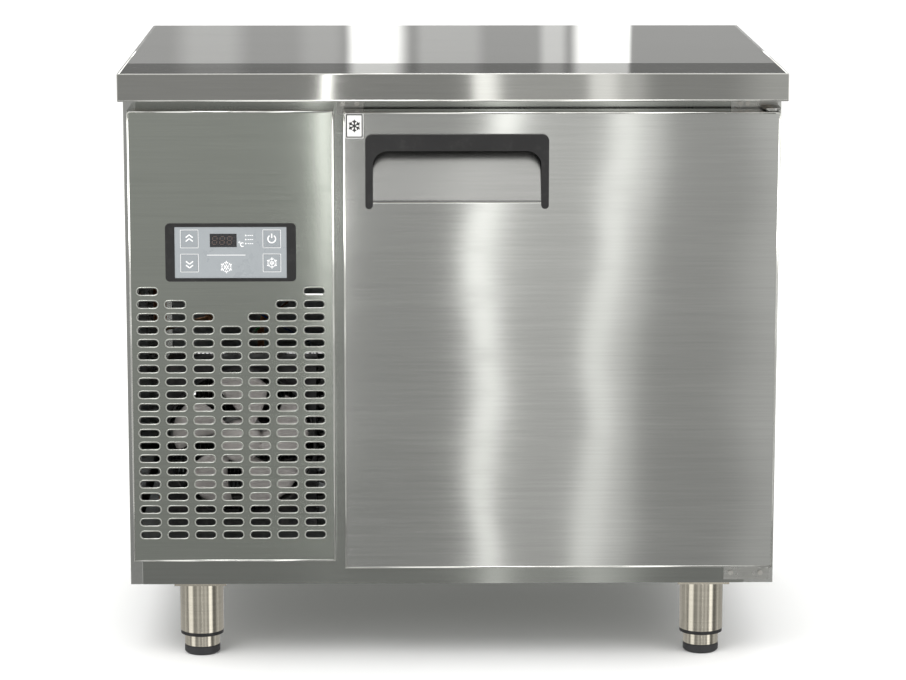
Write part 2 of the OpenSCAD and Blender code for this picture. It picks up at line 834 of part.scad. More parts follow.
module hinge_bottom() {
  arm = [door_z[0] - 1 - plate, door_z[0] - 1];
  color("Silver") hinge_plate(bottom_plate_z, arm, [arm[0], door_z[0] + 12]);
}

module hinge_blank() {
  color("Silver") difference() {
    block(blank_plate_x, [frame_y - plate + 1, frame_y], top_plate_z);
    screw_holes();
  }
}

module hinge_screws() {
  head_y = frame_y - plate;
  color("Gray") for (i = [0:len(screw_sites) - 1]) {
    seat = (i == 2 || i == 3) ? head_y + 1 : head_y;
    facing_front(screw_sites[i], frame_y + screw_length)
      cylinder(r = screw_radius, h = screw_length + frame_y - seat);
    facing_front(screw_sites[i], seat) cylinder(r = screw_head, h = 2);
  }
}

// ---- door ----

module pocket_wedge(inset) {
  slope = (pocket_z[1] - pocket_z[0]) / pocket_depth;
  lift = inset * sqrt(1 + slope * slope);
  low = pocket_z[0] + lift;
  top = pocket_z[1] - inset;
  deep = (top - low) / slope;
  reach = inset > 0 ? eps : 0;
  translate([pocket_x[0] + inset, 0, 0]) rotate([90, 0, 90])
    linear_extrude(pocket_x[1] - pocket_x[0] - 2 * inset)
    polygon([[door_front - reach, low - reach * slope], [door_front + deep, top], [door_front - reach, top]]);
}

module bush_holes() {
  translate([hinge_x, hinge_y, door_z[1] - bush_length]) cylinder(r = bush_radius, h = bush_length + eps);
  translate([hinge_x, hinge_y, door_z[0] - eps]) cylinder(r = bush_radius, h = bush_length + eps);
}

module door_skin() {
  color("Silver") difference() {
    block(door_x, [door_front, door_back], door_z);
    block([door_x[0] + sheet, door_x[1] - sheet], [door_front + sheet, door_back + eps],
      [door_z[0] + sheet, door_z[1] - sheet]);
    block(pocket_x, [door_front - eps, door_front + 2 * sheet], pocket_z);
    bush_holes();
  }
}

module door_liner() {
  x = [door_x[0] + sheet, door_x[1] - sheet];
  z = [door_z[0] + sheet, door_z[1] - sheet];
  px = [door_x[0] + pan_inset, door_x[1] - pan_inset];
  pz = [door_z[0] + pan_inset, door_z[1] - pan_inset];
  color("WhiteSmoke") difference() {
    union() {
      block(x, [door_back - sheet, door_back], z);
      block(px, [door_back - sheet, door_back + pan_height], pz);
    }
    block([px[0] + sheet, px[1] - sheet], [door_back - 2 * sheet, door_back + pan_height - sheet],
      [pz[0] + sheet, pz[1] - sheet]);
  }
}

module door_foam() {
  px = [door_x[0] + pan_inset + sheet, door_x[1] - pan_inset - sheet];
  pz = [door_z[0] + pan_inset + sheet, door_z[1] - pan_inset - sheet];
  color("Khaki") difference() {
    union() {
      block([door_x[0] + sheet, door_x[1] - sheet], [door_front + sheet, door_back - sheet],
        [door_z[0] + sheet, door_z[1] - sheet]);
      block(px, [door_back - 2 * sheet, door_back + pan_height - sheet], pz);
    }
    pocket_wedge(0);
    bush_holes();
  }
}

module door_gasket() {
  x = [door_x[0] + gasket_inset, door_x[1] - gasket_inset];
  z = [door_z[0] + gasket_inset, door_z[1] - gasket_inset];
  w = gasket_width;
  wall = 2.5;
  y = [door_back, frame_y - gap];
  color("DimGray") difference() {
    block(x, y, z);
    block([x[0] + w, x[1] - w], [y[0] - eps, y[1] + eps], [z[0] + w, z[1] - w]);
    difference() {
      block([x[0] + wall, x[1] - wall], [y[0] + wall, y[1] - wall], [z[0] + wall, z[1] - wall]);
      block([x[0] + w - wall, x[1] - w + wall], y, [z[0] + w - wall, z[1] - w + wall]);
    }
  }
}

module door_bushes() {
  color("White") for (top = [0, 1]) {
    z = top == 1 ? [door_z[1] - bush_length, door_z[1] + bush_flange]
      : [door_z[0] - bush_flange, door_z[0] + bush_length];
    bore = top == 1 ? [door_z[1] - bush_length + 1.5, door_z[1] + 2]
      : [door_z[0] - 2, door_z[0] + bush_length - 1.5];
    translate([hinge_x, hinge_y, 0]) difference() {
      translate([0, 0, z[0]]) cylinder(r = bush_radius, h = z[1] - z[0]);
      translate([0, 0, bore[0]]) cylinder(r = pin_radius + gap, h = bore[1] - bore[0]);
    }
  }
}

module handle_outline() {
  x = [handle_x - handle_width / 2, handle_x + handle_width / 2];
  inner = [x[0] + handle_side, x[1] - handle_side];
  bar_low = handle_z[1] - handle_bar;
  difference() {
    union() {
      rounded(x, [bar_low - handle_fillet, handle_z[1]], handle_corner);
      for (side = [x[0] + handle_side / 2, x[1] - handle_side / 2]) {
        rect([side - handle_side / 2, side + handle_side / 2], [handle_z[0] + handle_side / 2, bar_low]);
        translate([side, handle_z[0] + handle_side / 2]) circle(handle_side / 2);
      }
    }
    rect(inner, [handle_z[0] - eps, bar_low - handle_fillet]);
    rect([inner[0] + handle_fillet, inner[1] - handle_fillet], [bar_low - handle_fillet - eps, bar_low]);
    for (cx = [inner[0] + handle_fillet, inner[1] - handle_fillet]) translate([cx, bar_low - handle_fillet])
      circle(handle_fillet);
  }
}

module handle_bezel() {
  inset = 6;
  color("Black") {
    upright([door_front - handle_proud, door_front]) handle_outline();
    block([pocket_x[0] + inset, pocket_x[1] - inset], [door_front - eps, door_front + 7],
      [handle_z[1] - handle_bar + 3, pocket_z[1] - 2]);
  }
}

module handle_pocket() {
  color("Silver") difference() {
    pocket_wedge(0);
    pocket_wedge(sheet);
  }
}

module door_symbol() {
  size = [24.2, 33.3];
  color("White") block([door_x[0] + 3, door_x[0] + 3 + size[0]], [door_front - 0.4, door_front],
    [door_z[1] - 1.5 - size[1], door_z[1] - 1.5]);
}

// ---- legs ----

module leg_tubes() {
  half = leg_plate_size / 2;
  color("Silver") for (site = leg_sites) translate([site[0], site[1], 0]) {
    difference() {
      translate([0, 0, tube_end]) cylinder(d = leg_diameter, h = base_z - leg_plate - tube_end);
      translate([0, 0, tube_end - eps])
        cylinder(d = leg_diameter - 2 * leg_wall, h = base_z - leg_plate - tube_end + eps);
    }
    translate([-half, -half, base_z - leg_plate]) cube([leg_plate_size, leg_plate_size, leg_plate]);
  }
}

module leg_bushes() {
  color("Black") for (site = leg_sites) translate([site[0], site[1], 0]) difference() {
    union() {
      translate([0, 0, collar_end]) cylinder(d = leg_diameter - 1, h = tube_end - collar_end);
      translate([0, 0, collar_end]) cylinder(d = leg_diameter - 2 * leg_wall, h = bush_top - collar_end);
    }
    translate([0, 0, collar_end - eps]) cylinder(r = foot_diameter / 2 + gap, h = bush_top);
  }
}

module foot(i) {
  chamfer = 3;
  groove = 1.2;
  color("Silver") translate([leg_sites[i][0], leg_sites[i][1], 0]) {
    cylinder(d1 = foot_diameter - 2 * chamfer, d2 = foot_diameter, h = chamfer);
    translate([0, 0, chamfer]) cylinder(d = foot_diameter, h = foot_split - chamfer - groove);
    translate([0, 0, foot_split - groove]) cylinder(d = foot_diameter - 2, h = groove);
    translate([0, 0, foot_split]) cylinder(d = foot_diameter, h = foot_top - foot_split);
  }
}

worktop();
worktop_core();
side_panel_left();
side_panel_right();
back_panel();
top_panel();
base_panel();
mullion();
divider_panel();
inner_liner();
insulation();
front_panel();
controller_frame();
controller_board();
controller_overlay();
display_window();
unit_base();
compressor();
compressor_mounts();
terminal_cover();
condenser_coil();
fan_shroud();
condenser_motor();
filter_drier();
refrigerant_lines();
condensate_tray();
drain_pipe();
electrical_box();
wiring();
power_gland();
evaporator_coil();
evaporator_cover();
evaporator_motor();
shelf_pilasters();
shelf_clips();
hinge_top();
hinge_bottom();
hinge_blank();
hinge_screws();
leg_tubes();
leg_bushes();
condenser_fan();
evaporator_fan();
wire_shelf();
button(0);  // button_1
button(1);  // button_2
button(2);  // button_3
button(3);  // button_4
foot(0);  // foot_1
foot(1);  // foot_2
foot(2);  // foot_3
foot(3);  // foot_4
door_skin();
door_liner();
door_foam();
door_gasket();
door_bushes();
handle_bezel();
handle_pocket();
door_symbol();
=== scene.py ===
"""Looks, light and camera for the under counter fridge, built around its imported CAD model.

Everything is in metres, in the CAD's own frame: x to the right of the front, y towards the back, z up.
"""

import math

import bmesh
import bpy
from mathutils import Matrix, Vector


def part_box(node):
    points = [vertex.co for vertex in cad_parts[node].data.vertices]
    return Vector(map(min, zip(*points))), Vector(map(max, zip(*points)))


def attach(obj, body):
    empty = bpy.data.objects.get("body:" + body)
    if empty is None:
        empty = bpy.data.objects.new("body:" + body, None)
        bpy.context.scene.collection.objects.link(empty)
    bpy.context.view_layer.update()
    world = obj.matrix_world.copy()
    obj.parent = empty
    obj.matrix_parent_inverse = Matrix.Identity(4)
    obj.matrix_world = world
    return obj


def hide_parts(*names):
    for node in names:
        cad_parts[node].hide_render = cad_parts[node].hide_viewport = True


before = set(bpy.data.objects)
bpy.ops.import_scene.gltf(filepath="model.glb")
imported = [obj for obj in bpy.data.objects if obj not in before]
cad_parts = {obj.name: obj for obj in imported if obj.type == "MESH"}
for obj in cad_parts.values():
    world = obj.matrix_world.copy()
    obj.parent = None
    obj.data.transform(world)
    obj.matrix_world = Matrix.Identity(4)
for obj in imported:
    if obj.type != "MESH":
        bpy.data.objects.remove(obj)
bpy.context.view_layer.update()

MM = 0.001
FULL_TURN = 2 * math.pi


def middle_of(node):
    low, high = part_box(node)
    return (low + high) / 2


DOOR_MIDDLE = middle_of("door_skin").z

# ---------------------------------------------------------------- shading

SHADER_SOCKETS = {
    "base_color": "Base Color",
    "metallic": "Metallic",
    "roughness": "Roughness",
    "normal": "Normal",
    "anisotropic": "Anisotropic",
    "specular": "Specular IOR Level",
    "coat": "Coat Weight",
}
# Blender's noise mostly stays within these two values.
NOISE_LOW, NOISE_HIGH = 0.3, 0.7


def shade(colour, factor):
    return tuple(min(1, channel * factor) for channel in colour)


class NodeTree:
    """A node tree, with short calls for what materials and the world both use."""

    def __init__(self, owner):
        owner.use_nodes = True
        self.tree = owner.node_tree
        self.tree.nodes.clear()

    def add(self, kind, **settings):
        node = self.tree.nodes.new(kind)
        for setting, value in settings.items():
            setattr(node, setting, value)
        return node

    def link(self, source, target):
        self.tree.links.new(source, target)

    def put(self, target, value):
        """Links value to the socket when it is an output, and sets it when it is a number or a colour."""
        if isinstance(value, bpy.types.NodeSocket):
            self.link(value, target)
        elif isinstance(value, tuple) and len(value) == 3 and len(target.default_value) == 4:
            target.default_value = (*value, 1)
        else:
            target.default_value = value

    def maths(self, operation, first, second=0.0):
        node = self.add("ShaderNodeMath", operation=operation)
        self.put(node.inputs[0], first)
        self.put(node.inputs[1], second)
        return node.outputs[0]

    def map_range(self, value, old_range, new_range, interpolation="LINEAR"):
        """Maps value from the old range to the new one, and holds it inside the new one."""
        node = self.add("ShaderNodeMapRange", interpolation_type=interpolation)
        self.link(value, node.inputs["Value"])
        for socket, number in zip(("From Min", "From Max", "To Min", "To Max"), (*old_range, *new_range)):
            node.inputs[socket].default_value = number
        return node.outputs["Result"]


class Shading(NodeTree):
    """One material's node tree, with short calls for its textures and bumps."""

    def __init__(self, name):
        self.material = bpy.data.materials.new(name)
        super().__init__(self.material)
        self.shader = self.add("ShaderNodeBsdfPrincipled")
        output = self.add("ShaderNodeOutputMaterial")
        self.link(self.shader.outputs["BSDF"], output.inputs["Surface"])
        self.place = self.add("ShaderNodeTexCoord").outputs["Object"]

    def set(self, **values):
        """Sets the shader's own sockets: base_color=..., roughness=... and so on."""
        for socket, value in values.items():
            self.put(self.shader.inputs[SHADER_SOCKETS[socket]], value)

    def stretched(self, scale):
        mapping = self.add("ShaderNodeMapping")
        self.link(self.place, mapping.inputs["Vector"])
        mapping.inputs["Scale"].default_value = scale
        return mapping.outputs["Vector"]

    def noise(self, scale, detail=3, rough=0.55):
        """Cloudy noise; scale is its cycles in a metre along x, y and z."""
        texture = self.add("ShaderNodeTexNoise")
        scales = scale if isinstance(scale, tuple) else (scale,) * 3
        self.link(self.stretched(scales), texture.inputs["Vector"])
        texture.inputs["Scale"].default_value = 1
        texture.inputs["Detail"].default_value = detail
        texture.inputs["Roughness"].default_value = rough
        return texture.outputs[0]

    def cells(self, scale, feature="F1", output="Distance"):
        texture = self.add("ShaderNodeTexVoronoi", feature=feature)
        self.link(self.stretched((scale,) * 3), texture.inputs["Vector"])
        texture.inputs["Scale"].default_value = 1
        return texture.outputs[output]

    def spread(self, value, from_min, from_max, to_min, to_max):
        return self.map_range(value, (from_min, from_max), (to_min, to_max))

    def across(self, noise, low, high):
        """Noise stretched so that it runs from low to high."""
        return self.spread(noise, NOISE_LOW, NOISE_HIGH, low, high)

    def varied(self, noise, colour, darker, lighter):
        """The colour, drifting with the noise between a darker and a lighter shade of itself."""
        return self.blend(self.across(noise, 0, 1), shade(colour, darker), shade(colour, lighter))

    def blend(self, factor, first, second, mode="MIX"):
        node = self.add("ShaderNodeMix", data_type="RGBA", blend_type=mode)
        self.put(node.inputs[0], factor)
        self.put(node.inputs[6], first)
        self.put(node.inputs[7], second)
        return node.outputs[2]

    def axis(self, name):
        node = self.add("ShaderNodeSeparateXYZ")
        self.link(self.place, node.inputs[0])
        return node.outputs[name]

    def bump(self, height, depth, under=None):
        """A bump of that depth in metres, on top of another bump when under is given."""
        node = self.add("ShaderNodeBump")
        self.link(height, node.inputs["Height"])
        node.inputs["Strength"].default_value = 1
        node.inputs["Distance"].default_value = depth
        if under:
            self.link(under, node.inputs["Normal"])
        return node.outputs["Normal"]

    def brushed_across(self, along):
        """Spreads the gloss square to the brushing, which runs along that direction."""
        geometry = self.add("ShaderNodeNewGeometry")
        cross = self.add("ShaderNodeVectorMath", operation="CROSS_PRODUCT")
        self.link(geometry.outputs["Normal"], cross.inputs[0])
        cross.inputs[1].default_value = along
        unit = self.add("ShaderNodeVectorMath", operation="NORMALIZE")
        self.link(cross.outputs[0], unit.inputs[0])
        self.link(unit.outputs[0], self.shader.inputs["Tangent"])


def brushed_steel(name, colour, roughness=0.085, wave=2.2 * MM, along="x", marks=0.14, twist=0.0, nose=None):
    """Stainless sheet brushed along x or y: fine and coarse grain, soft dents, wiped marks and fingerprints.

    wave is the depth of the sheet's soft waviness, and twist its turn in radians for each metre above or
    below the door's middle. nose is (front y, back y, fall) of a strip that falls towards the front.
    """
    s = Shading(name)
    long_way, fine_way, coarse_way = 5, 1500, 260

    def along_grain(across, lengthwise):
        return (lengthwise, across, across) if along == "x" else (across, lengthwise, across)

    fine = s.noise(along_grain(fine_way, long_way * 3), 2, 0.7)
    coarse = s.noise(along_grain(coarse_way, long_way), 3, 0.6)
    cloud = s.noise(5.5, 4, 0.6)
    wiped = s.noise(along_grain(26, 4), 4, 0.62)
    grain = s.maths("ADD", s.maths("MULTIPLY", fine, 0.5), s.maths("MULTIPLY", coarse, 0.5))
    tone = s.varied(grain, colour, 0.94, 1.06)
    warm = s.blend(s.spread(cloud, 0.35, 0.68, 0, marks), (1, 1, 1), (0.82, 0.83, 0.79))
    waves = s.bump(s.noise((1.9, 1.9, 3.4), 1.2, 0.4), wave)
    if twist:
        height = s.maths("SUBTRACT", s.axis("Z"), DOOR_MIDDLE)
        waves = s.bump(s.maths("MULTIPLY", s.axis("X"), height), twist, waves)
    if nose:
        waves = s.bump(s.spread(s.axis("Y"), nose[0], nose[1], 0, 1), nose[2], waves)
    s.set(
        base_color=s.blend(1.0, tone, warm, "MULTIPLY"),
        metallic=1.0,
        anisotropic=1.0,
        roughness=s.maths("ADD", s.across(grain, roughness * 0.9, roughness * 1.08),
                          s.spread(wiped, 0.5, 0.78, 0, roughness * 0.22)),
        normal=s.bump(coarse, 0.0008 * MM, waves),
    )
    s.brushed_across((1, 0.02, 0) if along == "x" else (0.02, 1, 0))
    return s.material


def formed_steel(name, colour=(0.46, 0.46, 0.44), roughness=0.24):
    """Bent stainless or coated sheet with mill marks and small scuffs."""
    s = Shading(name)
    mill = s.noise((18, 18, 420), 3)
    scuff = s.noise(60, 6, 0.7)
    tone = s.varied(mill, colour, 0.88, 1.08)
    s.set(
        base_color=s.blend(s.spread(scuff, 0.58, 0.74, 0, 0.5), tone, shade(colour, 0.72)),
        metallic=1.0,
        anisotropic=0.5,
        roughness=s.across(scuff, roughness, roughness + 0.12),
        normal=s.bump(s.noise(9, 2), 0.4 * MM),
    )
    s.brushed_across((1, 0.02, 0))
    return s.material


def galvanised(name, colour=(0.5, 0.52, 0.53)):
    """Zinc coated sheet: crystal spangle, matt, with handling marks."""
    s = Shading(name)
    spangle = s.cells(160, output="Color")
    tone = s.blend(spangle, shade(colour, 0.86), shade(colour, 1.1))
    handled = s.spread(s.noise(22, 6, 0.6), 0.5, 0.8, 0, 0.3)
    s.set(
        base_color=s.blend(handled, tone, shade(colour, 0.82)),
        metallic=1.0,
        roughness=s.across(s.noise(60, 4), 0.32, 0.42),
        normal=s.bump(s.cells(110), 0.02 * MM),
    )
    return s.material


def polished_tube(name, colour=(0.7, 0.655, 0.56), pad_top=None):
    """Polished stainless tube, ringed by its polishing; below pad_top it is the foot's black pad."""
    s = Shading(name)
    rings = s.noise((9, 9, 900), 3, 0.7)
    tone = s.varied(rings, colour, 0.93, 1.06)
    water = s.spread(s.noise(38, 5, 0.6), 0.56, 0.76, 0, 0.35)
    rough = s.maths("ADD", s.across(rings, 0.1, 0.17), s.maths("MULTIPLY", water, 0.3))
    tone = s.blend(water, tone, shade(colour, 0.7))
    metallic = 1.0
    if pad_top:
        is_pad = s.spread(s.axis("Z"), pad_top, pad_top + 0.2 * MM, 1, 0)
        tone = s.blend(is_pad, tone, (0.022, 0.022, 0.024))
        rough = s.maths("ADD", rough, s.maths("MULTIPLY", is_pad, 0.4))
        metallic = s.maths("SUBTRACT", 1.0, is_pad)
    s.set(base_color=tone, metallic=metallic, roughness=rough, normal=s.bump(rings, 0.006 * MM))
    return s.material


def metal(name, colour, roughness=0.3, tarnish=(0.2, 0.15, 0.1), amount=0.4, grain=160):
    """A plain metal with tarnish in patches: copper, aluminium, zinc plated screws, motors."""
    s = Shading(name)
    patch = s.noise(45, 5, 0.65)
    fine = s.noise(grain * 6, 3)
    tone = s.varied(fine, colour, 0.88, 1.1)
    s.set(
        base_color=s.blend(s.spread(patch, 0.48, 0.74, 0, amount), tone, tarnish),
        metallic=s.spread(patch, 0.48, 0.8, 1, 0.7),
        roughness=s.spread(patch, 0.35, 0.7, roughness, roughness + 0.2),
        normal=s.bump(fine, 0.02 * MM),
    )
    return s.material


GREY_DUST = (0.4, 0.39, 0.36)


def moulded(name, colour, roughness=0.42, grain=1300, depth=0.03 * MM, dust=0.12, dust_colour=GREY_DUST):
    """Moulded plastic or rubber: fine spark grain, slight colour drift and a little dust."""
    s = Shading(name)
    grains = s.cells(grain)
    drift = s.noise(13, 4, 0.6)
    tone = s.varied(drift, colour, 0.86, 1.14)
    s.set(
        base_color=s.blend(s.spread(s.noise(70, 6, 0.7), 0.52, 0.78, 0, dust), tone, dust_colour),
        roughness=s.across(drift, roughness - 0.05, roughness + 0.09),
        normal=s.bump(grains, depth),
    )
    return s.material


def painted(name, colour, roughness=0.3, dust=0.3):
    """Sprayed enamel with orange peel and settled dust."""
    s = Shading(name)
    settled = s.spread(s.noise(30, 6, 0.7), 0.45, 0.75, 0, dust)
    tone = s.varied(s.noise(8, 3), colour, 0.85, 1.2)
    s.set(
        base_color=s.blend(settled, tone, (0.3, 0.28, 0.25)),
        roughness=s.spread(settled, 0, dust, roughness, roughness + 0.35),
        normal=s.bump(s.noise(420, 2), 0.08 * MM),
        coat=0.3,
    )
    return s.material


def film(name, colour, speck=0.05):
    """Printed polyester film: satin, with a faint even fleck and finger wear."""
    s = Shading(name)
    fleck = s.noise(2600, 1)
    worn = s.spread(s.noise(48, 4), 0.5, 0.75, 0, 0.3)
    tone = s.varied(fleck, colour, 1 - speck, 1 + speck)
    s.set(
        base_color=s.blend(worn, tone, shade(colour, 0.86)),
        roughness=s.spread(worn, 0, 0.3, 0.34, 0.22),
        normal=s.bump(fleck, 0.012 * MM),
    )
    return s.material


def dark_glass(name):
    """Smoked display window with a few hairline wipes."""
    s = Shading(name)
    wipe = s.noise((40, 1, 900), 3)
    s.set(
        base_color=s.blend(s.spread(wipe, 0.5, 0.75, 0, 1), (0.012, 0.012, 0.014), (0.03, 0.03, 0.033)),
        roughness=s.spread(wipe, 0.4, 0.7, 0.07, 0.2),
        coat=0.5,
    )
    return s.material


def plywood(name):
    s = Shading(name)
    growth = s.noise((3, 60, 8), 5, 0.7)
    plies = s.noise((1, 1, 520), 0)
    tone = s.blend(s.across(growth, 0, 1), (0.42, 0.26, 0.13), (0.62, 0.44, 0.25))
    s.set(
        base_color=s.blend(s.spread(plies, 0.42, 0.58, 0, 0.5), tone, (0.3, 0.17, 0.08)),
        roughness=s.across(growth, 0.55, 0.75),
        normal=s.bump(growth, 0.2 * MM),
    )
    return s.material


def foam(name):
    s = Shading(name)
    cells = s.cells(700)
    tone = s.blend(s.across(s.noise(6, 4), 0, 1), (0.68, 0.55, 0.3), (0.8, 0.68, 0.42))
    s.set(
        base_color=s.blend(s.spread(cells, 0, 0.5, 0.3, 0), tone, (0.5, 0.38, 0.2)),
        roughness=s.spread(cells, 0, 0.6, 0.95, 0.75),
        normal=s.bump(cells, 0.6 * MM),
    )
    return s.material


def circuit_board(name):
    """Green solder mask with brighter tracks and tinned pads."""
    s = Shading(name)
    tracks = s.spread(s.cells(260, "DISTANCE_TO_EDGE"), 0.04, 0.09, 1, 0)
    pads = s.spread(s.cells(400), 0.16, 0.2, 1, 0)
    tone = s.blend(tracks, (0.01, 0.12, 0.04), (0.03, 0.27, 0.1))
    s.set(
        base_color=s.blend(pads, tone, (0.6, 0.6, 0.57)),
        metallic=s.maths("MULTIPLY", pads, 0.8),
        roughness=s.across(s.noise(60, 3), 0.28, 0.45),
        normal=s.bump(tracks, 0.05 * MM),
    )
    return s.material


def wires(name):
    """Insulated wires whose colour goes with their place: blue, brown, white, and green with yellow."""
    s = Shading(name)
    band = s.noise((7, 5, 4), 0)
    tone = s.blend(s.spread(band, 0.42, 0.46, 0, 1), (0.03, 0.09, 0.33), (0.55, 0.54, 0.5))
    tone = s.blend(s.spread(band, 0.5, 0.53, 0, 1), tone, (0.04, 0.28, 0.07))
    tone = s.blend(s.spread(band, 0.57, 0.6, 0, 1), tone, (0.2, 0.07, 0.03))
    s.set(
        base_color=tone,
        roughness=s.across(s.noise(90, 4), 0.3, 0.5),
        normal=s.bump(s.noise(500, 2), 0.03 * MM),
    )
    return s.material


DOOR_STEEL = (0.5, 0.505, 0.49)
PANEL_STEEL = (0.4, 0.42, 0.385)
TOP_STEEL = (0.36, 0.36, 0.345)
# The rails and the mullion are the door's own stainless. Their steel is set darker as painted shade for the
# recessed gaps round the door.
RAIL_STEEL_PAINTED_SHADE = (0.33, 0.34, 0.32)

# The front strip of the worktop falls by a little: where it starts, where it ends, and its fall.
NOSE = (-350 * MM, -215 * MM, 2.8 * MM)
PAD_TOP = 12.9 * MM

slot_finish = {
    "brushed_steel": brushed_steel("steel_sheet", PANEL_STEEL, wave=0.8 * MM),
    "formed_steel": formed_steel("steel_formed"),
    "galvanised": galvanised("steel_zinc"),
    "plywood": plywood("wood_core"),
    "foam": foam("foam_core"),
    "black_plastic": moulded("plastic_black", (0.0095, 0.009, 0.0095), 0.42, dust=0.04),
    "white_plastic": moulded("plastic_white", (0.72, 0.72, 0.7), 0.36, 1700, 0.012 * MM, 0.1),
    "overlay_film": film("film_grey", (0.29, 0.31, 0.325)),
    "button_film": film("film_button", (0.265, 0.285, 0.3)),
    "display_glass": dark_glass("glass_display"),
    "circuit_board": circuit_board("board_green"),
    "black_paint": painted("paint_black", (0.02, 0.02, 0.022)),
    "rubber_grey": moulded("rubber_grey", (0.28, 0.28, 0.28), 0.6, 900, 0.04 * MM, 0.2),
    "rubber_black": moulded("rubber_black", (0.025, 0.025, 0.025), 0.65, 900, 0.04 * MM, 0.3),
    "copper": metal("metal_copper", (0.72, 0.36, 0.2), 0.28),
    "coil_metal": metal("metal_coil", (0.3, 0.29, 0.28), 0.45, (0.16, 0.14, 0.12), 0.7),
    "coil_clean": metal("metal_fins", (0.7, 0.71, 0.72), 0.3, (0.5, 0.5, 0.5), 0.2),
    "fan_plastic": moulded("plastic_fan", (0.66, 0.62, 0.6), 0.45, 900, 0.04 * MM, 0.5, (0.35, 0.3, 0.27)),
    "motor_metal": metal("metal_motor", (0.5, 0.5, 0.5), 0.4, (0.28, 0.26, 0.24), 0.4),
    "wire_coating": moulded("coating_grey", (0.6, 0.61, 0.61), 0.3, 500, 0.08 * MM, 0.1),
    "chrome_leg": polished_tube("steel_tube"),
    "screw_metal": metal("metal_screw", (0.6, 0.59, 0.56), 0.22, (0.35, 0.3, 0.24), 0.3),
}

node_finish = {
    "worktop": brushed_steel("steel_worktop", TOP_STEEL, 0.05, wave=0.5 * MM, nose=NOSE),
    "door_skin": brushed_steel("steel_door", DOOR_STEEL, twist=0.0055),
    # These three take the darker rail steel, which is painted shade for the gaps they sit in.
    "base_panel": brushed_steel("steel_rail_painted_shade", RAIL_STEEL_PAINTED_SHADE, 0.1),
    "top_panel": brushed_steel("steel_top_rail_painted_shade", RAIL_STEEL_PAINTED_SHADE, 0.1),
    "mullion": brushed_steel("steel_mullion_painted_shade", RAIL_STEEL_PAINTED_SHADE, 0.1),
    # The handle's pocket is the door's own stainless, made about half as bright as painted shade for the
    # deep recess behind the handle.
    "handle_pocket": brushed_steel("steel_pocket_painted_shade", (0.25, 0.25, 0.245), 0.16),
    "side_panel_left": brushed_steel("steel_side_left", DOOR_STEEL, along="y"),
    "side_panel_right": brushed_steel("steel_side_right", DOOR_STEEL, along="y"),
    "wiring": wires("wire_colours"),
}
for number in range(1, 5):
    node_finish[f"foot_{number}"] = polished_tube(f"steel_foot_{number}", pad_top=PAD_TOP)

for node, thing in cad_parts.items():
    for index, old in enumerate(thing.data.materials):
        thing.data.materials[index] = node_finish.get(node, slot_finish[old.name.split(".")[0]])

# ---------------------------------------------------------------- folded edges of the CAD sheets

EDGE_RADIUS = {
    "worktop": 1.6, "door_skin": 1.6, "handle_bezel": 1.2, "handle_pocket": 0.6, "controller_frame": 0.8,
    "side_panel_left": 0.5, "side_panel_right": 0.5, "mullion": 0.4, "hinge_top": 0.4, "hinge_bottom": 0.4,
    "door_liner": 0.3, "electrical_box": 1.5, "terminal_cover": 1.5, "unit_base": 0.4, "door_gasket": 2.0,
}


def soften_edges(thing, radius):
    """Rounds the sharp edges, as folding or moulding leaves them, once the triangles' corners are joined."""
    weld = thing.modifiers.new("join", "WELD")
    weld.merge_threshold = 0.01 * MM
    bevel = thing.modifiers.new("edge", "BEVEL")
    bevel.width = radius
    bevel.segments = 2
    bevel.limit_method = "ANGLE"
    bevel.angle_limit = math.radians(40)
    bevel.use_clamp_overlap = True


for node, radius in EDGE_RADIUS.items():
    soften_edges(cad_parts[node], radius * MM)

# ---------------------------------------------------------------- building pieces


def new_piece(name, body, finish, build, smooth=False):
    """A mesh made by build(form), where form is a bmesh in the CAD's frame, riding on that body."""
    form = bmesh.new()
    build(form)
    bmesh.ops.recalc_face_normals(form, faces=form.faces)
    mesh = bpy.data.meshes.new(name)
    form.to_mesh(mesh)
    form.free()
    for polygon in mesh.polygons:
        polygon.use_smooth = smooth
    piece = bpy.data.objects.new(name, mesh)
    bpy.context.collection.objects.link(piece)
    mesh.materials.append(finish)
    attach(piece, body)
    return piece


def prism(form, outline, front, back):
    """A flat plate whose outline is a list of (x, z), from y = front to y = back."""
    faces = []
    for y in (front, back):
        faces.append([form.verts.new((x, y, z)) for x, z in outline])
    form.faces.new(faces[0])
    form.faces.new(list(reversed(faces[1])))
    for index in range(len(outline)):
        after = (index + 1) % len(outline)
        form.faces.new((faces[0][index], faces[1][index], faces[1][after], faces[0][after]))


def stroke(form, start, end, width, front, back):
    """A straight line of that width between two (x, z) points."""
    along = Vector((end[0] - start[0], end[1] - start[1])).normalized() * (width / 2)
    side = Vector((-along.y, along.x))
    first, last = Vector(start) - along * 0.4, Vector(end) + along * 0.4
    corners = [first - side, last - side, last + side, first + side]
    prism(form, [tuple(corner) for corner in corners], front, back)


def arc(form, centre, radius, width, start, end, front, back, steps=14):
    """Part of a ring, from one angle in degrees to another."""
    for step in range(steps):
        corners = []
        for angle, reach in ((step, -1), (step + 1, -1), (step + 1, 1), (step, 1)):
            turn = math.radians(start + (end - start) * angle / steps)
            distance = radius + reach * width / 2
            corners.append((centre[0] + distance * math.cos(turn), centre[1] + distance * math.sin(turn)))
        prism(form, corners, front, back)


def stadium(length, height, inset=0.0, steps=7):
    """Outline of a round-ended slot, as (x, z) about its centre."""
    radius = height / 2 - inset
    straight = (length - height) / 2
    points = []
    for side, first in ((1, -90), (-1, 90)):
        for step in range(steps + 1):
            turn = math.radians(first + 180 * step / steps)
            points.append((side * straight + radius * math.cos(turn), radius * math.sin(turn)))
    return points


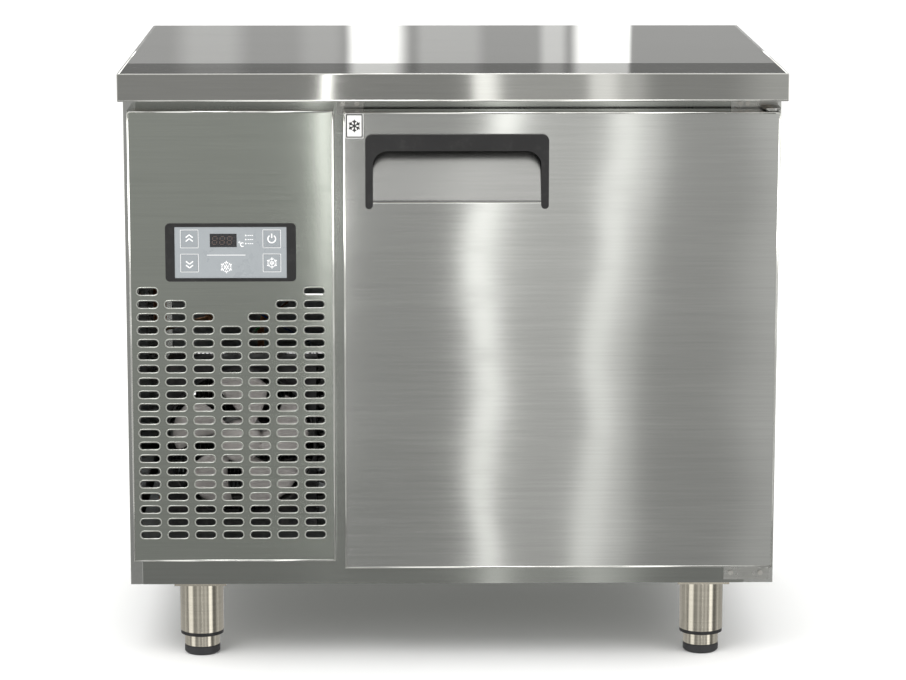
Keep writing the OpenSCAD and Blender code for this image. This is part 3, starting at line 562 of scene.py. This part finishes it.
# The grille's lattice, as in the CAD: 7 columns and 20 rows, whose top rows leave out the middle in steps.
SLOT_LENGTH, SLOT_HEIGHT = 28 * MM, 9.5 * MM
SLOT_PITCH_X, SLOT_PITCH_Z = 37.6 * MM, 17.82 * MM
SLOT_ROWS, SLOT_SIDE_COLUMNS, SLOT_FULL_ROW = 20, 3, 3
SLOT_MIDDLE_X, SLOT_TOP_Z = -301.2 * MM, 529.2 * MM
RIM_WIDTH, RIM_HEIGHT = 1.3 * MM, 0.5 * MM


def slot_rims(form):
    """A rounded pressed rim round every air slot."""
    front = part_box("front_panel")[0].y
    profile = [(0.15, 0.0), (-0.35, 0.75), (-0.7, 1.0), (-1.0, 0.7), (-1.15, 0.0)]
    for row in range(SLOT_ROWS):
        for column in range(-SLOT_SIDE_COLUMNS, SLOT_SIDE_COLUMNS + 1):
            if abs(column) < SLOT_FULL_ROW - row:
                continue
            middle = (SLOT_MIDDLE_X + column * SLOT_PITCH_X, SLOT_TOP_Z - row * SLOT_PITCH_Z)
            loops = []
            for inset, height in profile:
                ring = stadium(SLOT_LENGTH, SLOT_HEIGHT, inset * RIM_WIDTH)
                y = front - height * RIM_HEIGHT
                loops.append([form.verts.new((middle[0] + x, y, middle[1] + z)) for x, z in ring])
            for outer, inner in zip(loops, loops[1:]):
                for index in range(len(outer)):
                    after = (index + 1) % len(outer)
                    form.faces.new((outer[index], outer[after], inner[after], inner[index]))


rim_steel = brushed_steel("steel_rims", (0.42, 0.43, 0.4), 0.3)
new_piece("slot_rims", "cabinet", rim_steel, slot_rims, smooth=True)

# ---------------------------------------------------------------- folded rims of the sheets, as beads in brightened steel that is a painted highlight

FOLD_WIDTH, FOLD_HEIGHT = 2.4 * MM, 0.55 * MM


def bead(form, start, end, outward, inward):
    """A half-round bead along a sheet's edge, from one corner to another, standing out towards outward."""
    steps = 8
    loops = []
    for corner in (start, end):
        loop = []
        for step in range(steps + 1):
            turn = math.pi * step / steps
            point = Vector(corner) + Vector(inward) * FOLD_WIDTH * (1 - math.cos(turn)) / 2
            loop.append(form.verts.new(point + Vector(outward) * FOLD_HEIGHT * math.sin(turn)))
        loops.append(loop)
    for index in range(steps):
        form.faces.new((loops[0][index], loops[0][index + 1], loops[1][index + 1], loops[1][index]))
    form.faces.new(loops[0])
    form.faces.new(loops[1])
    form.faces.new((loops[0][0], loops[1][0], loops[1][steps], loops[0][steps]))


def front_folds(node):
    """Beads round the four edges of a sheet that faces the front."""
    low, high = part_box(node)
    y = low.y
    corners = [(low.x, y, low.z), (high.x, y, low.z), (high.x, y, high.z), (low.x, y, high.z)]
    inwards = [(0, 0, 1), (-1, 0, 0), (0, 0, -1), (1, 0, 0)]

    def build(form):
        for side in range(4):
            bead(form, corners[side], corners[(side + 1) % 4], (0, -1, 0), inwards[side])

    return build


def worktop_folds(form):
    """Beads along the top of the worktop's front, left and right edges, and along its front drip edge."""
    low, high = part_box("worktop")
    inset = EDGE_RADIUS["worktop"] * MM
    top = high.z - 0.35 * MM
    front, back = low.y + inset, high.y - inset
    left, right = low.x + inset, high.x - inset
    bead(form, (left, front, top), (right, front, top), (0, 0, 1), (0, 1, 0))
    bead(form, (left, front, top), (left, back, top), (0, 0, 1), (1, 0, 0))
    bead(form, (right, front, top), (right, back, top), (0, 0, 1), (-1, 0, 0))
    bead(form, (left, low.y, low.z), (right, low.y, low.z), (0, -1, 0), (0, 0, 1))


# The beads' steel is far brighter than the sheets' own, a painted highlight along the folded edges; their
# rounded shape also catches the lights.
fold_steel_painted_highlight = polished_tube("steel_folds_painted_highlight", (0.78, 0.78, 0.75))
new_piece("panel_folds", "cabinet", fold_steel_painted_highlight, front_folds("front_panel"), smooth=True)
new_piece("door_folds", "door", fold_steel_painted_highlight, front_folds("door_skin"), smooth=True)
new_piece("worktop_folds", "cabinet", fold_steel_painted_highlight, worktop_folds, smooth=True)

# ---------------------------------------------------------------- control panel marks

MARK = 0.06 * MM
white_ink = film("ink_white", (0.93, 0.93, 0.93), 0.03)
dim_segment = film("segment_dim", (0.085, 0.06, 0.052), 0.1)


def snowflake(form, centre, size, width, front, back):
    """Three crossing lines with a small barb pair near each end."""
    for arm in range(6):
        turn = math.radians(60 * arm + 30)
        out = Vector((math.cos(turn), math.sin(turn)))
        tip = Vector(centre) + out * size
        stroke(form, centre, tuple(tip), width, front, back)
        fork = Vector(centre) + out * size * 0.55
        for swing in (-50, 50):
            barb = math.radians(60 * arm + 30 + swing)
            end = fork + Vector((math.cos(barb), math.sin(barb))) * size * 0.36
            stroke(form, tuple(fork), tuple(end), width, front, back)


def chevrons(form, centre, size, width, front, back, up):
    """Two arrow heads, one above the other, for raising or lowering the set temperature."""
    rise = size * 0.5 if up else -size * 0.5
    for shift in (-0.42, 0.3):
        base = centre[1] + shift * size
        tip = (centre[0], base + rise)
        for side in (-1, 1):
            stroke(form, (centre[0] + side * size * 0.62, base), tip, width, front, back)


def standby(form, centre, size, width, front, back):
    """A broken ring and a short line, for on and off."""
    arc(form, centre, size * 0.72, width, 125, 415, front, back, 22)
    bottom, top = centre[1] + size * 0.2, centre[1] + size * 0.95
    stroke(form, (centre[0], bottom), (centre[0], top), width, front, back)


def frame_line(form, low, high, width, front, back):
    """A rectangle drawn in line."""
    corners = [(low[0], low[1]), (high[0], low[1]), (high[0], high[1]), (low[0], high[1])]
    for index in range(4):
        stroke(form, corners[index], corners[(index + 1) % 4], width, front, back)


SIGN_SIZE, SIGN_LINE = 7.2 * MM, 1.5 * MM
SNOWFLAKE_LINE_SHARE = 0.8
BUTTON_EDGE, BUTTON_EDGE_LINE = 0.7 * MM, 0.6 * MM


def ink_depths(node):
    """The front and back of ink that is printed on the node's front face."""
    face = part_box(node)[0].y
    return face - MARK, face + MARK


def button_marks(number):
    """Raise, standby, lower and cooling signs, on buttons 1 to 4."""
    node = f"button_{number}"
    middle = middle_of(node)
    centre = (middle.x, middle.z)
    front, back = ink_depths(node)

    def build(form):
        if number == 1:
            chevrons(form, centre, SIGN_SIZE, SIGN_LINE, front, back, True)
        elif number == 2:
            standby(form, centre, SIGN_SIZE, SIGN_LINE, front, back)
        elif number == 3:
            chevrons(form, centre, SIGN_SIZE, SIGN_LINE, front, back, False)
        else:
            snowflake(form, centre, SIGN_SIZE, SIGN_LINE * SNOWFLAKE_LINE_SHARE, front, back)

    return build


def button_frames(form):
    """A printed line round each of the four buttons."""
    front, back = ink_depths("controller_overlay")
    for number in range(1, 5):
        low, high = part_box(f"button_{number}")
        corner = (low.x - BUTTON_EDGE, low.z - BUTTON_EDGE)
        opposite = (high.x + BUTTON_EDGE, high.z + BUTTON_EDGE)
        frame_line(form, corner, opposite, BUTTON_EDGE_LINE, front, back)


for number in range(1, 5):
    body = f"button_{number}_body"
    new_piece(f"button_mark_{number}", body, white_ink, button_marks(number))
new_piece("button_frames", "cabinet", white_ink, button_frames)

DIGIT_WIDTH, DIGIT_HALF_HEIGHT, DIGIT_PITCH = 6 * MM, 5.2 * MM, 10 * MM
DIGIT_BAR, DIGIT_GAP, DIGIT_LEAN = 1.15 * MM, 0.5 * MM, 0.1
DIGITS_SHIFT = -1.5 * MM


def display_digits(form):
    """Three digits of seven bars each, unlit."""
    middle = middle_of("display_window")
    front, back = ink_depths("display_window")
    half = DIGIT_WIDTH / 2
    end = DIGIT_GAP + DIGIT_BAR / 2
    for place in (-1, 0, 1):
        centre_x = middle.x + DIGITS_SHIFT + place * DIGIT_PITCH

        def at(x, z):
            return (centre_x + x + z * DIGIT_LEAN, middle.z + z)

        for z in (-DIGIT_HALF_HEIGHT, 0, DIGIT_HALF_HEIGHT):
            stroke(form, at(-half + end, z), at(half - end, z), DIGIT_BAR, front, back)
        for x in (-half, half):
            for base in (-DIGIT_HALF_HEIGHT, 0):
                top = base + DIGIT_HALF_HEIGHT
                stroke(form, at(x, base + end), at(x, top - end), DIGIT_BAR, front, back)


new_piece("display_digits", "cabinet", dim_segment, display_digits)


DEGREE_SHIFT, DEGREE_RISE, DEGREE_RADIUS, DEGREE_LINE = 3.6 * MM, 6.6 * MM, 1.0 * MM, 0.6 * MM
LETTER_SHIFT, LETTER_RISE, LETTER_RADIUS, LETTER_LINE = 4 * MM, 3.4 * MM, 2.5 * MM, 1.1 * MM
LAMP_ROWS, LAMP_SHIFT, LAMP_DROP, LAMP_PITCH, LAMP_SIZE = 3, 12.2 * MM, 2.4 * MM, 5.6 * MM, 1.0 * MM
DASHES, DASH_SHIFT, DASH_PITCH, DASH_LENGTH, DASH_LINE = 3, 2.6 * MM, 2.7 * MM, 1.8 * MM, 0.8 * MM


def overlay_marks(form):
    """A degree sign with its C, and three lamps with plain dashes beside them."""
    front, back = ink_depths("controller_overlay")
    low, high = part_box("display_window")
    degree = (high.x + DEGREE_SHIFT, low.z + DEGREE_RISE)
    letter = (degree[0] + LETTER_SHIFT, low.z + LETTER_RISE)
    arc(form, degree, DEGREE_RADIUS, DEGREE_LINE, 0, 360, front, back, 12)
    arc(form, letter, LETTER_RADIUS, LETTER_LINE, 50, 310, front, back, 12)
    for row in range(LAMP_ROWS):
        x = high.x + LAMP_SHIFT
        z = high.z - LAMP_DROP - row * LAMP_PITCH
        arc(form, (x, z), LAMP_SIZE / 2, LAMP_SIZE, 0, 360, front, back, 10)
        for dash in range(DASHES):
            start = x + DASH_SHIFT + dash * DASH_PITCH
            stroke(form, (start, z), (start + DASH_LENGTH, z), DASH_LINE, front, back)


RULE_HALF_LENGTH, RULE_LINE, RULE_HEIGHT_SHARE = 26 * MM, 0.7 * MM, 0.45
BADGE_SHIFT, BADGE_RISE, BADGE_SIZE, BADGE_LINE = -6 * MM, 15 * MM, 8 * MM, 1.3 * MM


def badge_marks(form):
    """A plain rule and a snowflake, where a maker's title and badge would stand."""
    low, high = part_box("controller_overlay")
    front, back = ink_depths("controller_overlay")
    centre = (low.x + high.x) / 2 + BADGE_SHIFT
    left, right = centre - RULE_HALF_LENGTH, centre + RULE_HALF_LENGTH
    rule = low.z + RULE_HEIGHT_SHARE * (high.z - low.z)
    stroke(form, (left, rule), (right, rule), RULE_LINE, front, back)
    snowflake(form, (centre, low.z + BADGE_RISE), BADGE_SIZE, BADGE_LINE, front, back)


new_piece("overlay_marks", "cabinet", white_ink, overlay_marks)
new_piece("overlay_badge", "cabinet", white_ink, badge_marks)

# ---------------------------------------------------------------- sticker on the door


STICKER_EDGE, STICKER_SIGN, STICKER_SIGN_LINE = 1.6 * MM, 8.2 * MM, 1.7 * MM


def sticker_marks(form):
    """A black frame with a snowflake in it."""
    low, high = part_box("door_symbol")
    middle = middle_of("door_symbol")
    front, back = ink_depths("door_symbol")
    corner = (low.x + STICKER_EDGE, low.z + STICKER_EDGE)
    opposite = (high.x - STICKER_EDGE, high.z - STICKER_EDGE)
    frame_line(form, corner, opposite, STICKER_EDGE, front, back)
    snowflake(form, (middle.x, middle.z), STICKER_SIGN, STICKER_SIGN_LINE, front, back)


black_ink = moulded("ink_black", (0.015, 0.015, 0.015), 0.4)
new_piece("sticker_marks", "door", black_ink, sticker_marks)

# ---------------------------------------------------------------- fans


BLADES, BLADE_THICKNESS = 5, 1.6 * MM
STEPS_ACROSS, STEPS_OUTWARD, HUB_STEPS = 8, 10, 40
BLADE_FILL, BLADE_SWEEP, BLADE_ROOT = 0.8, 0.35, 0.9
BLADE_DEPTH_SHARE = 0.36
# The hub's section, as shares of its radius and of the fan's depth.
HUB_PROFILE = [
    (0.02, -0.47), (0.55, -0.46), (0.86, -0.4), (1.0, -0.24),
    (1.0, 0.46), (0.9, 0.47), (0.88, 0.2), (0.02, 0.2),
]


def blade_point(blade, out, turn, radius, hub, depth):
    """A place on a blade as (distance, angle, y): out runs 0 to 1 from root to tip, turn -1 to 1 across."""
    root = hub * BLADE_ROOT
    distance = root + (radius - root) * out * (1 - 0.1 * turn * turn * out)
    half_width = FULL_TURN / BLADES * BLADE_FILL / 2 * (0.62 + 0.5 * out - 0.22 * out ** 3)
    angle = FULL_TURN * blade / BLADES + turn * half_width + BLADE_SWEEP * out
    twist = depth * turn * (1.0 - 0.28 * out)
    cup = depth * 0.25 * (1 - turn * turn)
    return distance, angle, twist - cup


def fan(name, body, node, centre, radius, hub, finish):
    """A moulded axial fan: swept, cupped blades on a domed hub, facing the front."""
    low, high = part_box(node)
    middle_y = (low.y + high.y) / 2
    depth = high.y - low.y

    def add_point(form, distance, angle, y):
        x = centre[0] + distance * math.cos(angle)
        z = centre[1] + distance * math.sin(angle)
        return form.verts.new((x, middle_y + y, z))

    def build_blades(form):
        for blade in range(BLADES):
            rows = []
            for step_out in range(STEPS_OUTWARD + 1):
                row = []
                for step_across in range(STEPS_ACROSS + 1):
                    out = step_out / STEPS_OUTWARD
                    turn = step_across / STEPS_ACROSS * 2 - 1
                    place = blade_point(blade, out, turn, radius, hub, depth * BLADE_DEPTH_SHARE)
                    row.append(add_point(form, *place))
                rows.append(row)
            for lower, upper in zip(rows, rows[1:]):
                for index in range(STEPS_ACROSS):
                    form.faces.new((lower[index], lower[index + 1], upper[index + 1], upper[index]))

    def build_hub(form):
        rings = []
        for reach, level in HUB_PROFILE:
            angles = [FULL_TURN * step / HUB_STEPS for step in range(HUB_STEPS)]
            rings.append([add_point(form, reach * hub, angle, level * depth) for angle in angles])
        for inner, outer in zip(rings, rings[1:]):
            for index in range(HUB_STEPS):
                after = (index + 1) % HUB_STEPS
                form.faces.new((inner[index], inner[after], outer[after], outer[index]))
        form.faces.new(rings[0])
        form.faces.new(rings[-1])

    blade_piece = new_piece(f"{name}_blades", body, finish, build_blades, smooth=True)
    thick = blade_piece.modifiers.new("thickness", "SOLIDIFY")
    thick.thickness = BLADE_THICKNESS
    thick.offset = 0
    new_piece(f"{name}_hub", body, finish, build_hub, smooth=True)
    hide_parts(node)


CONDENSER_AXIS, CONDENSER_FAN_RADIUS, CONDENSER_HUB_RADIUS = (-295 * MM, 296 * MM), 97 * MM, 29 * MM
EVAPORATOR_AXIS, EVAPORATOR_FAN_RADIUS, EVAPORATOR_HUB_RADIUS = (248 * MM, 637.5 * MM), 69 * MM, 22 * MM

fan("condenser_wheel", "condenser_fan_body", "condenser_fan", CONDENSER_AXIS, CONDENSER_FAN_RADIUS,
    CONDENSER_HUB_RADIUS, slot_finish["fan_plastic"])
fan("evaporator_wheel", "evaporator_fan_body", "evaporator_fan", EVAPORATOR_AXIS, EVAPORATOR_FAN_RADIUS,
    EVAPORATOR_HUB_RADIUS, slot_finish["black_plastic"])

# ---------------------------------------------------------------- studio

# Soft strips of light for the metal to mirror. Azimuths are in degrees, from straight ahead of the front or
# from straight behind the back. Each is (where it starts, full from, full to, where it ends, strength).
FRONT_GLOW = [
    (-150, -144, -138, -132, 0.12),
    (-100, -97, -94, -91, 0.35),
    (-88, -86, -84, -82, 0.4),
    (-26, -20, -16, -10, 0.3),
    (0.95, 1.55, 4.0, 4.6, 0.27),
    (1.26, 1.4, 1.56, 1.9, 1.75),
    (3.15, 3.36, 3.56, 3.9, 1.0),
    (3.5, 3.8, 4.0, 4.4, 0.3),
    (5.6, 6.6, 9.0, 12.0, 0.3),
    (14, 19, 26, 34, 0.35),
    (84, 86, 87, 88, 0.4),
    (92, 93, 98, 102, 0.3),
]
BACK_GLOW = [
    (-24, -18, -12, -8, 0.4),
    (-3.9, -3.4, -2.9, -2.4, 0.16),
    (-1.8, -1.4, -1.1, -0.8, 0.1),
    (-0.9, -0.65, -0.1, 0.3, 1.3),
    (0.3, 0.5, 1.3, 1.6, 0.16),
    (2.4, 2.6, 2.8, 3.0, 0.35),
    (2.95, 3.2, 3.98, 4.06, 1.1),
    (8, 12, 18, 24, 0.4),
]
# Two wide boxes of light at the sides, which fade away upwards.
SIDE_BOXES = [
    (-78, -68, -52, -40, 1.3),
    (36, 43, 54, 64, 1.6),
]
# A short strip, which shows as the bright patch high on the right of the front panel.
CORNER_GLOW = [(-1.26, -1.19, -1.12, -1.05, 5.5)]

# The studio's walls, and what is added to the side walls above the floor, and well above or below eye level.
FRONT_LEVEL, SIDE_LEVEL, BACK_LEVEL = 0.54, 0.23, 0.44
SIDE_RAISED, STEEP_SIDES = 0.3, 0.45
CEILING_LEVEL, CEILING_BACK_SHARE = 1.3, 0.25
# The lights behind stand below a darker beam, which the near edge of the worktop mirrors.
BEAM_SHARE = 0.4


class Studio(NodeTree):
    """The world: white behind the object, even light on it, and soft strips for its metal to mirror."""

    def __init__(self):
        self.world = bpy.data.worlds.new("studio")
        super().__init__(self.world)
        parts = self.add("ShaderNodeSeparateXYZ")
        self.link(self.add("ShaderNodeTexCoord").outputs["Generated"], parts.inputs[0])
        x, y, z = parts.outputs
        self.front_azimuth = self.maths("ARCTAN2", x, self.maths("MULTIPLY", y, -1.0))
        self.back_azimuth = self.maths("ARCTAN2", x, y)
        self.around = self.maths("ABSOLUTE", self.front_azimuth)
        self.elevation = self.maths("ARCSINE", z)
        self.steepness = self.maths("ABSOLUTE", self.elevation)

    def fade(self, angle, start, end, first, last):
        """Runs smoothly from first to last while the angle runs from start to end, in degrees."""
        angles = (math.radians(start), math.radians(end))
        return self.map_range(angle, angles, (first, last), "SMOOTHSTEP")

    def plus(self, *terms):
        total = terms[0]
        for term in terms[1:]:
            total = self.maths("ADD", total, term)
        return total

    def times(self, *factors):
        product = factors[0]
        for factor in factors[1:]:
            product = self.maths("MULTIPLY", product, factor)
        return product

    def strips(self, azimuth, glow):
        lit = []
        for start, full_from, full_to, end, strength in glow:
            rise = self.fade(azimuth, start, full_from, 0, strength)
            lit.append(self.times(rise, self.fade(azimuth, full_to, end, 1, 0)))
        return self.plus(*lit)

    def walls(self):
        """The even levels all round: front, sides and back."""
        front_to_side = self.fade(self.around, 8, 75, FRONT_LEVEL, SIDE_LEVEL)
        back = self.fade(self.around, 130, 172, 0, BACK_LEVEL - SIDE_LEVEL)
        not_behind = self.fade(self.around, 140, 165, 1, 0)
        raised = self.times(self.fade(self.elevation, -12, 4, 0, SIDE_RAISED), not_behind,
                            self.fade(self.around, 20, 60, 0, 1))
        steep = self.times(self.fade(self.steepness, 11.5, 16, 0, STEEP_SIDES), not_behind,
                           self.fade(self.around, 70, 100, 0, 1))
        return self.plus(front_to_side, back, raised, steep)

    def lights(self):
        """All the strips and boxes of light."""
        front = self.strips(self.front_azimuth, FRONT_GLOW)
        boxes = self.strips(self.front_azimuth, SIDE_BOXES)
        boxes = self.times(boxes, self.fade(self.elevation, -6, 6, 1, 0.15))
        corner = self.strips(self.front_azimuth, CORNER_GLOW)
        corner = self.times(corner, self.fade(self.elevation, -10.6, -8.6, 0, 1))
        back = self.strips(self.back_azimuth, BACK_GLOW)
        return self.plus(front, back, boxes, corner)

    def ceiling(self):
        above = self.fade(self.elevation, 24, 34, 0, CEILING_LEVEL)
        return self.times(above, self.fade(self.around, 70, 110, 1, CEILING_BACK_SHARE))

    def beam(self):
        """What the beam behind leaves of the light: 1 away from it, and its share within it."""
        above_its_foot = self.fade(self.elevation, 7.0, 7.8, 0, 1)
        below_its_top = self.fade(self.elevation, 11, 16, 1, 0)
        inside = self.times(above_its_foot, below_its_top, self.fade(self.around, 155, 165, 0, 1))
        return self.maths("SUBTRACT", 1.0, self.times(inside, 1 - BEAM_SHARE))

    def level(self):
        lower_dim = self.fade(self.elevation, -16, -6, 0.68, 1.06)
        upper_lift = self.fade(self.elevation, 16, 70, 1, 1.7)
        round_about = self.times(self.plus(self.walls(), self.lights()), lower_dim, upper_lift)
        return self.times(self.plus(round_about, self.ceiling()), self.beam())

    def background(self, colour, strength):
        node = self.add("ShaderNodeBackground")
        self.put(node.inputs["Color"], colour)
        self.put(node.inputs["Strength"], strength)
        return node.outputs[0]

    def choose(self, factor, off, on):
        node = self.add("ShaderNodeMixShader")
        for socket, value in zip(node.inputs, (factor, off, on)):
            self.link(value, socket)
        return node.outputs[0]

    def build(self):
        """The camera sees white, matt surfaces are lit evenly, and mirroring ones see the studio."""
        white = (1, 1, 1)
        path = self.add("ShaderNodeLightPath")
        mirrored = self.background((1.0, 1.0, 0.98), self.level())
        lit = self.choose(path.outputs["Is Diffuse Ray"], mirrored, self.background(white, 1.0))
        seen = self.choose(path.outputs["Is Camera Ray"], lit, self.background(white, 1.0))
        self.link(seen, self.add("ShaderNodeOutputWorld").inputs["Surface"])
        bpy.context.scene.world = self.world


def soft_light(name, place, target, size, power):
    light = bpy.data.lights.new(name, "AREA")
    light.shape = "RECTANGLE"
    light.size, light.size_y = size
    light.energy = power
    lamp = bpy.data.objects.new(name, light)
    bpy.context.collection.objects.link(lamp)
    lamp.location = place
    lamp.rotation_euler = (Vector(target) - Vector(place)).to_track_quat("-Z", "Y").to_euler()
    lamp.visible_camera = False


def build_floor():
    """A wide pale floor; the metal mirrors the studio instead of it."""
    form = bmesh.new()
    bmesh.ops.create_grid(form, x_segments=8, y_segments=8, size=20)
    mesh = bpy.data.meshes.new("floor")
    form.to_mesh(mesh)
    form.free()
    floor = bpy.data.objects.new("floor", mesh)
    bpy.context.collection.objects.link(floor)
    s = Shading("floor_pale")
    s.set(
        base_color=s.blend(s.across(s.noise(2, 3), 0, 1), (0.955, 0.955, 0.95), (0.975, 0.975, 0.97)),
        roughness=s.across(s.noise(30, 3), 0.75, 0.85),
        specular=0.1,
    )
    mesh.materials.append(s.material)
    floor.visible_glossy = False


Studio().build()
build_floor()
soft_light("key", (-1.6, -2.6, 3.3), (0, 0, 0.5), (2.2, 1.6), 60)
soft_light("fill", (2.6, -1.6, 2.4), (0, 0, 0.4), (1.6, 1.6), 22)
soft_light("rim", (0.4, 3.0, 2.8), (0, 0, 0.6), (2.4, 1.2), 30)

# ---------------------------------------------------------------- camera

CAMERA_PLACE = (-0.07761, -4.81553, 1.30241)
CAMERA_YAW, CAMERA_PITCH, CAMERA_ROLL = 0.01731, 0.18583, 0.00099
CAMERA_LENS = 133.087


def build_camera():
    camera = bpy.data.cameras.new("camera")
    camera.sensor_width = 36
    camera.lens = CAMERA_LENS
    camera.clip_end = 50
    seat = bpy.data.objects.new("camera", camera)
    bpy.context.collection.objects.link(seat)
    forward = Vector((math.sin(CAMERA_YAW) * math.cos(CAMERA_PITCH),
                      math.cos(CAMERA_YAW) * math.cos(CAMERA_PITCH),
                      -math.sin(CAMERA_PITCH)))
    right = Vector((math.cos(CAMERA_YAW), -math.sin(CAMERA_YAW), 0))
    up = right.cross(forward)
    rolled_right = right * math.cos(CAMERA_ROLL) + up * math.sin(CAMERA_ROLL)
    rolled_up = up * math.cos(CAMERA_ROLL) - right * math.sin(CAMERA_ROLL)
    matrix = seat.matrix_world.copy()
    for row in range(3):
        matrix[row][0] = rolled_right[row]
        matrix[row][1] = rolled_up[row]
        matrix[row][2] = -forward[row]
        matrix[row][3] = CAMERA_PLACE[row]
    seat.matrix_world = matrix
    bpy.context.scene.camera = seat


build_camera()
bpy.context.scene.view_settings.view_transform = "Standard"
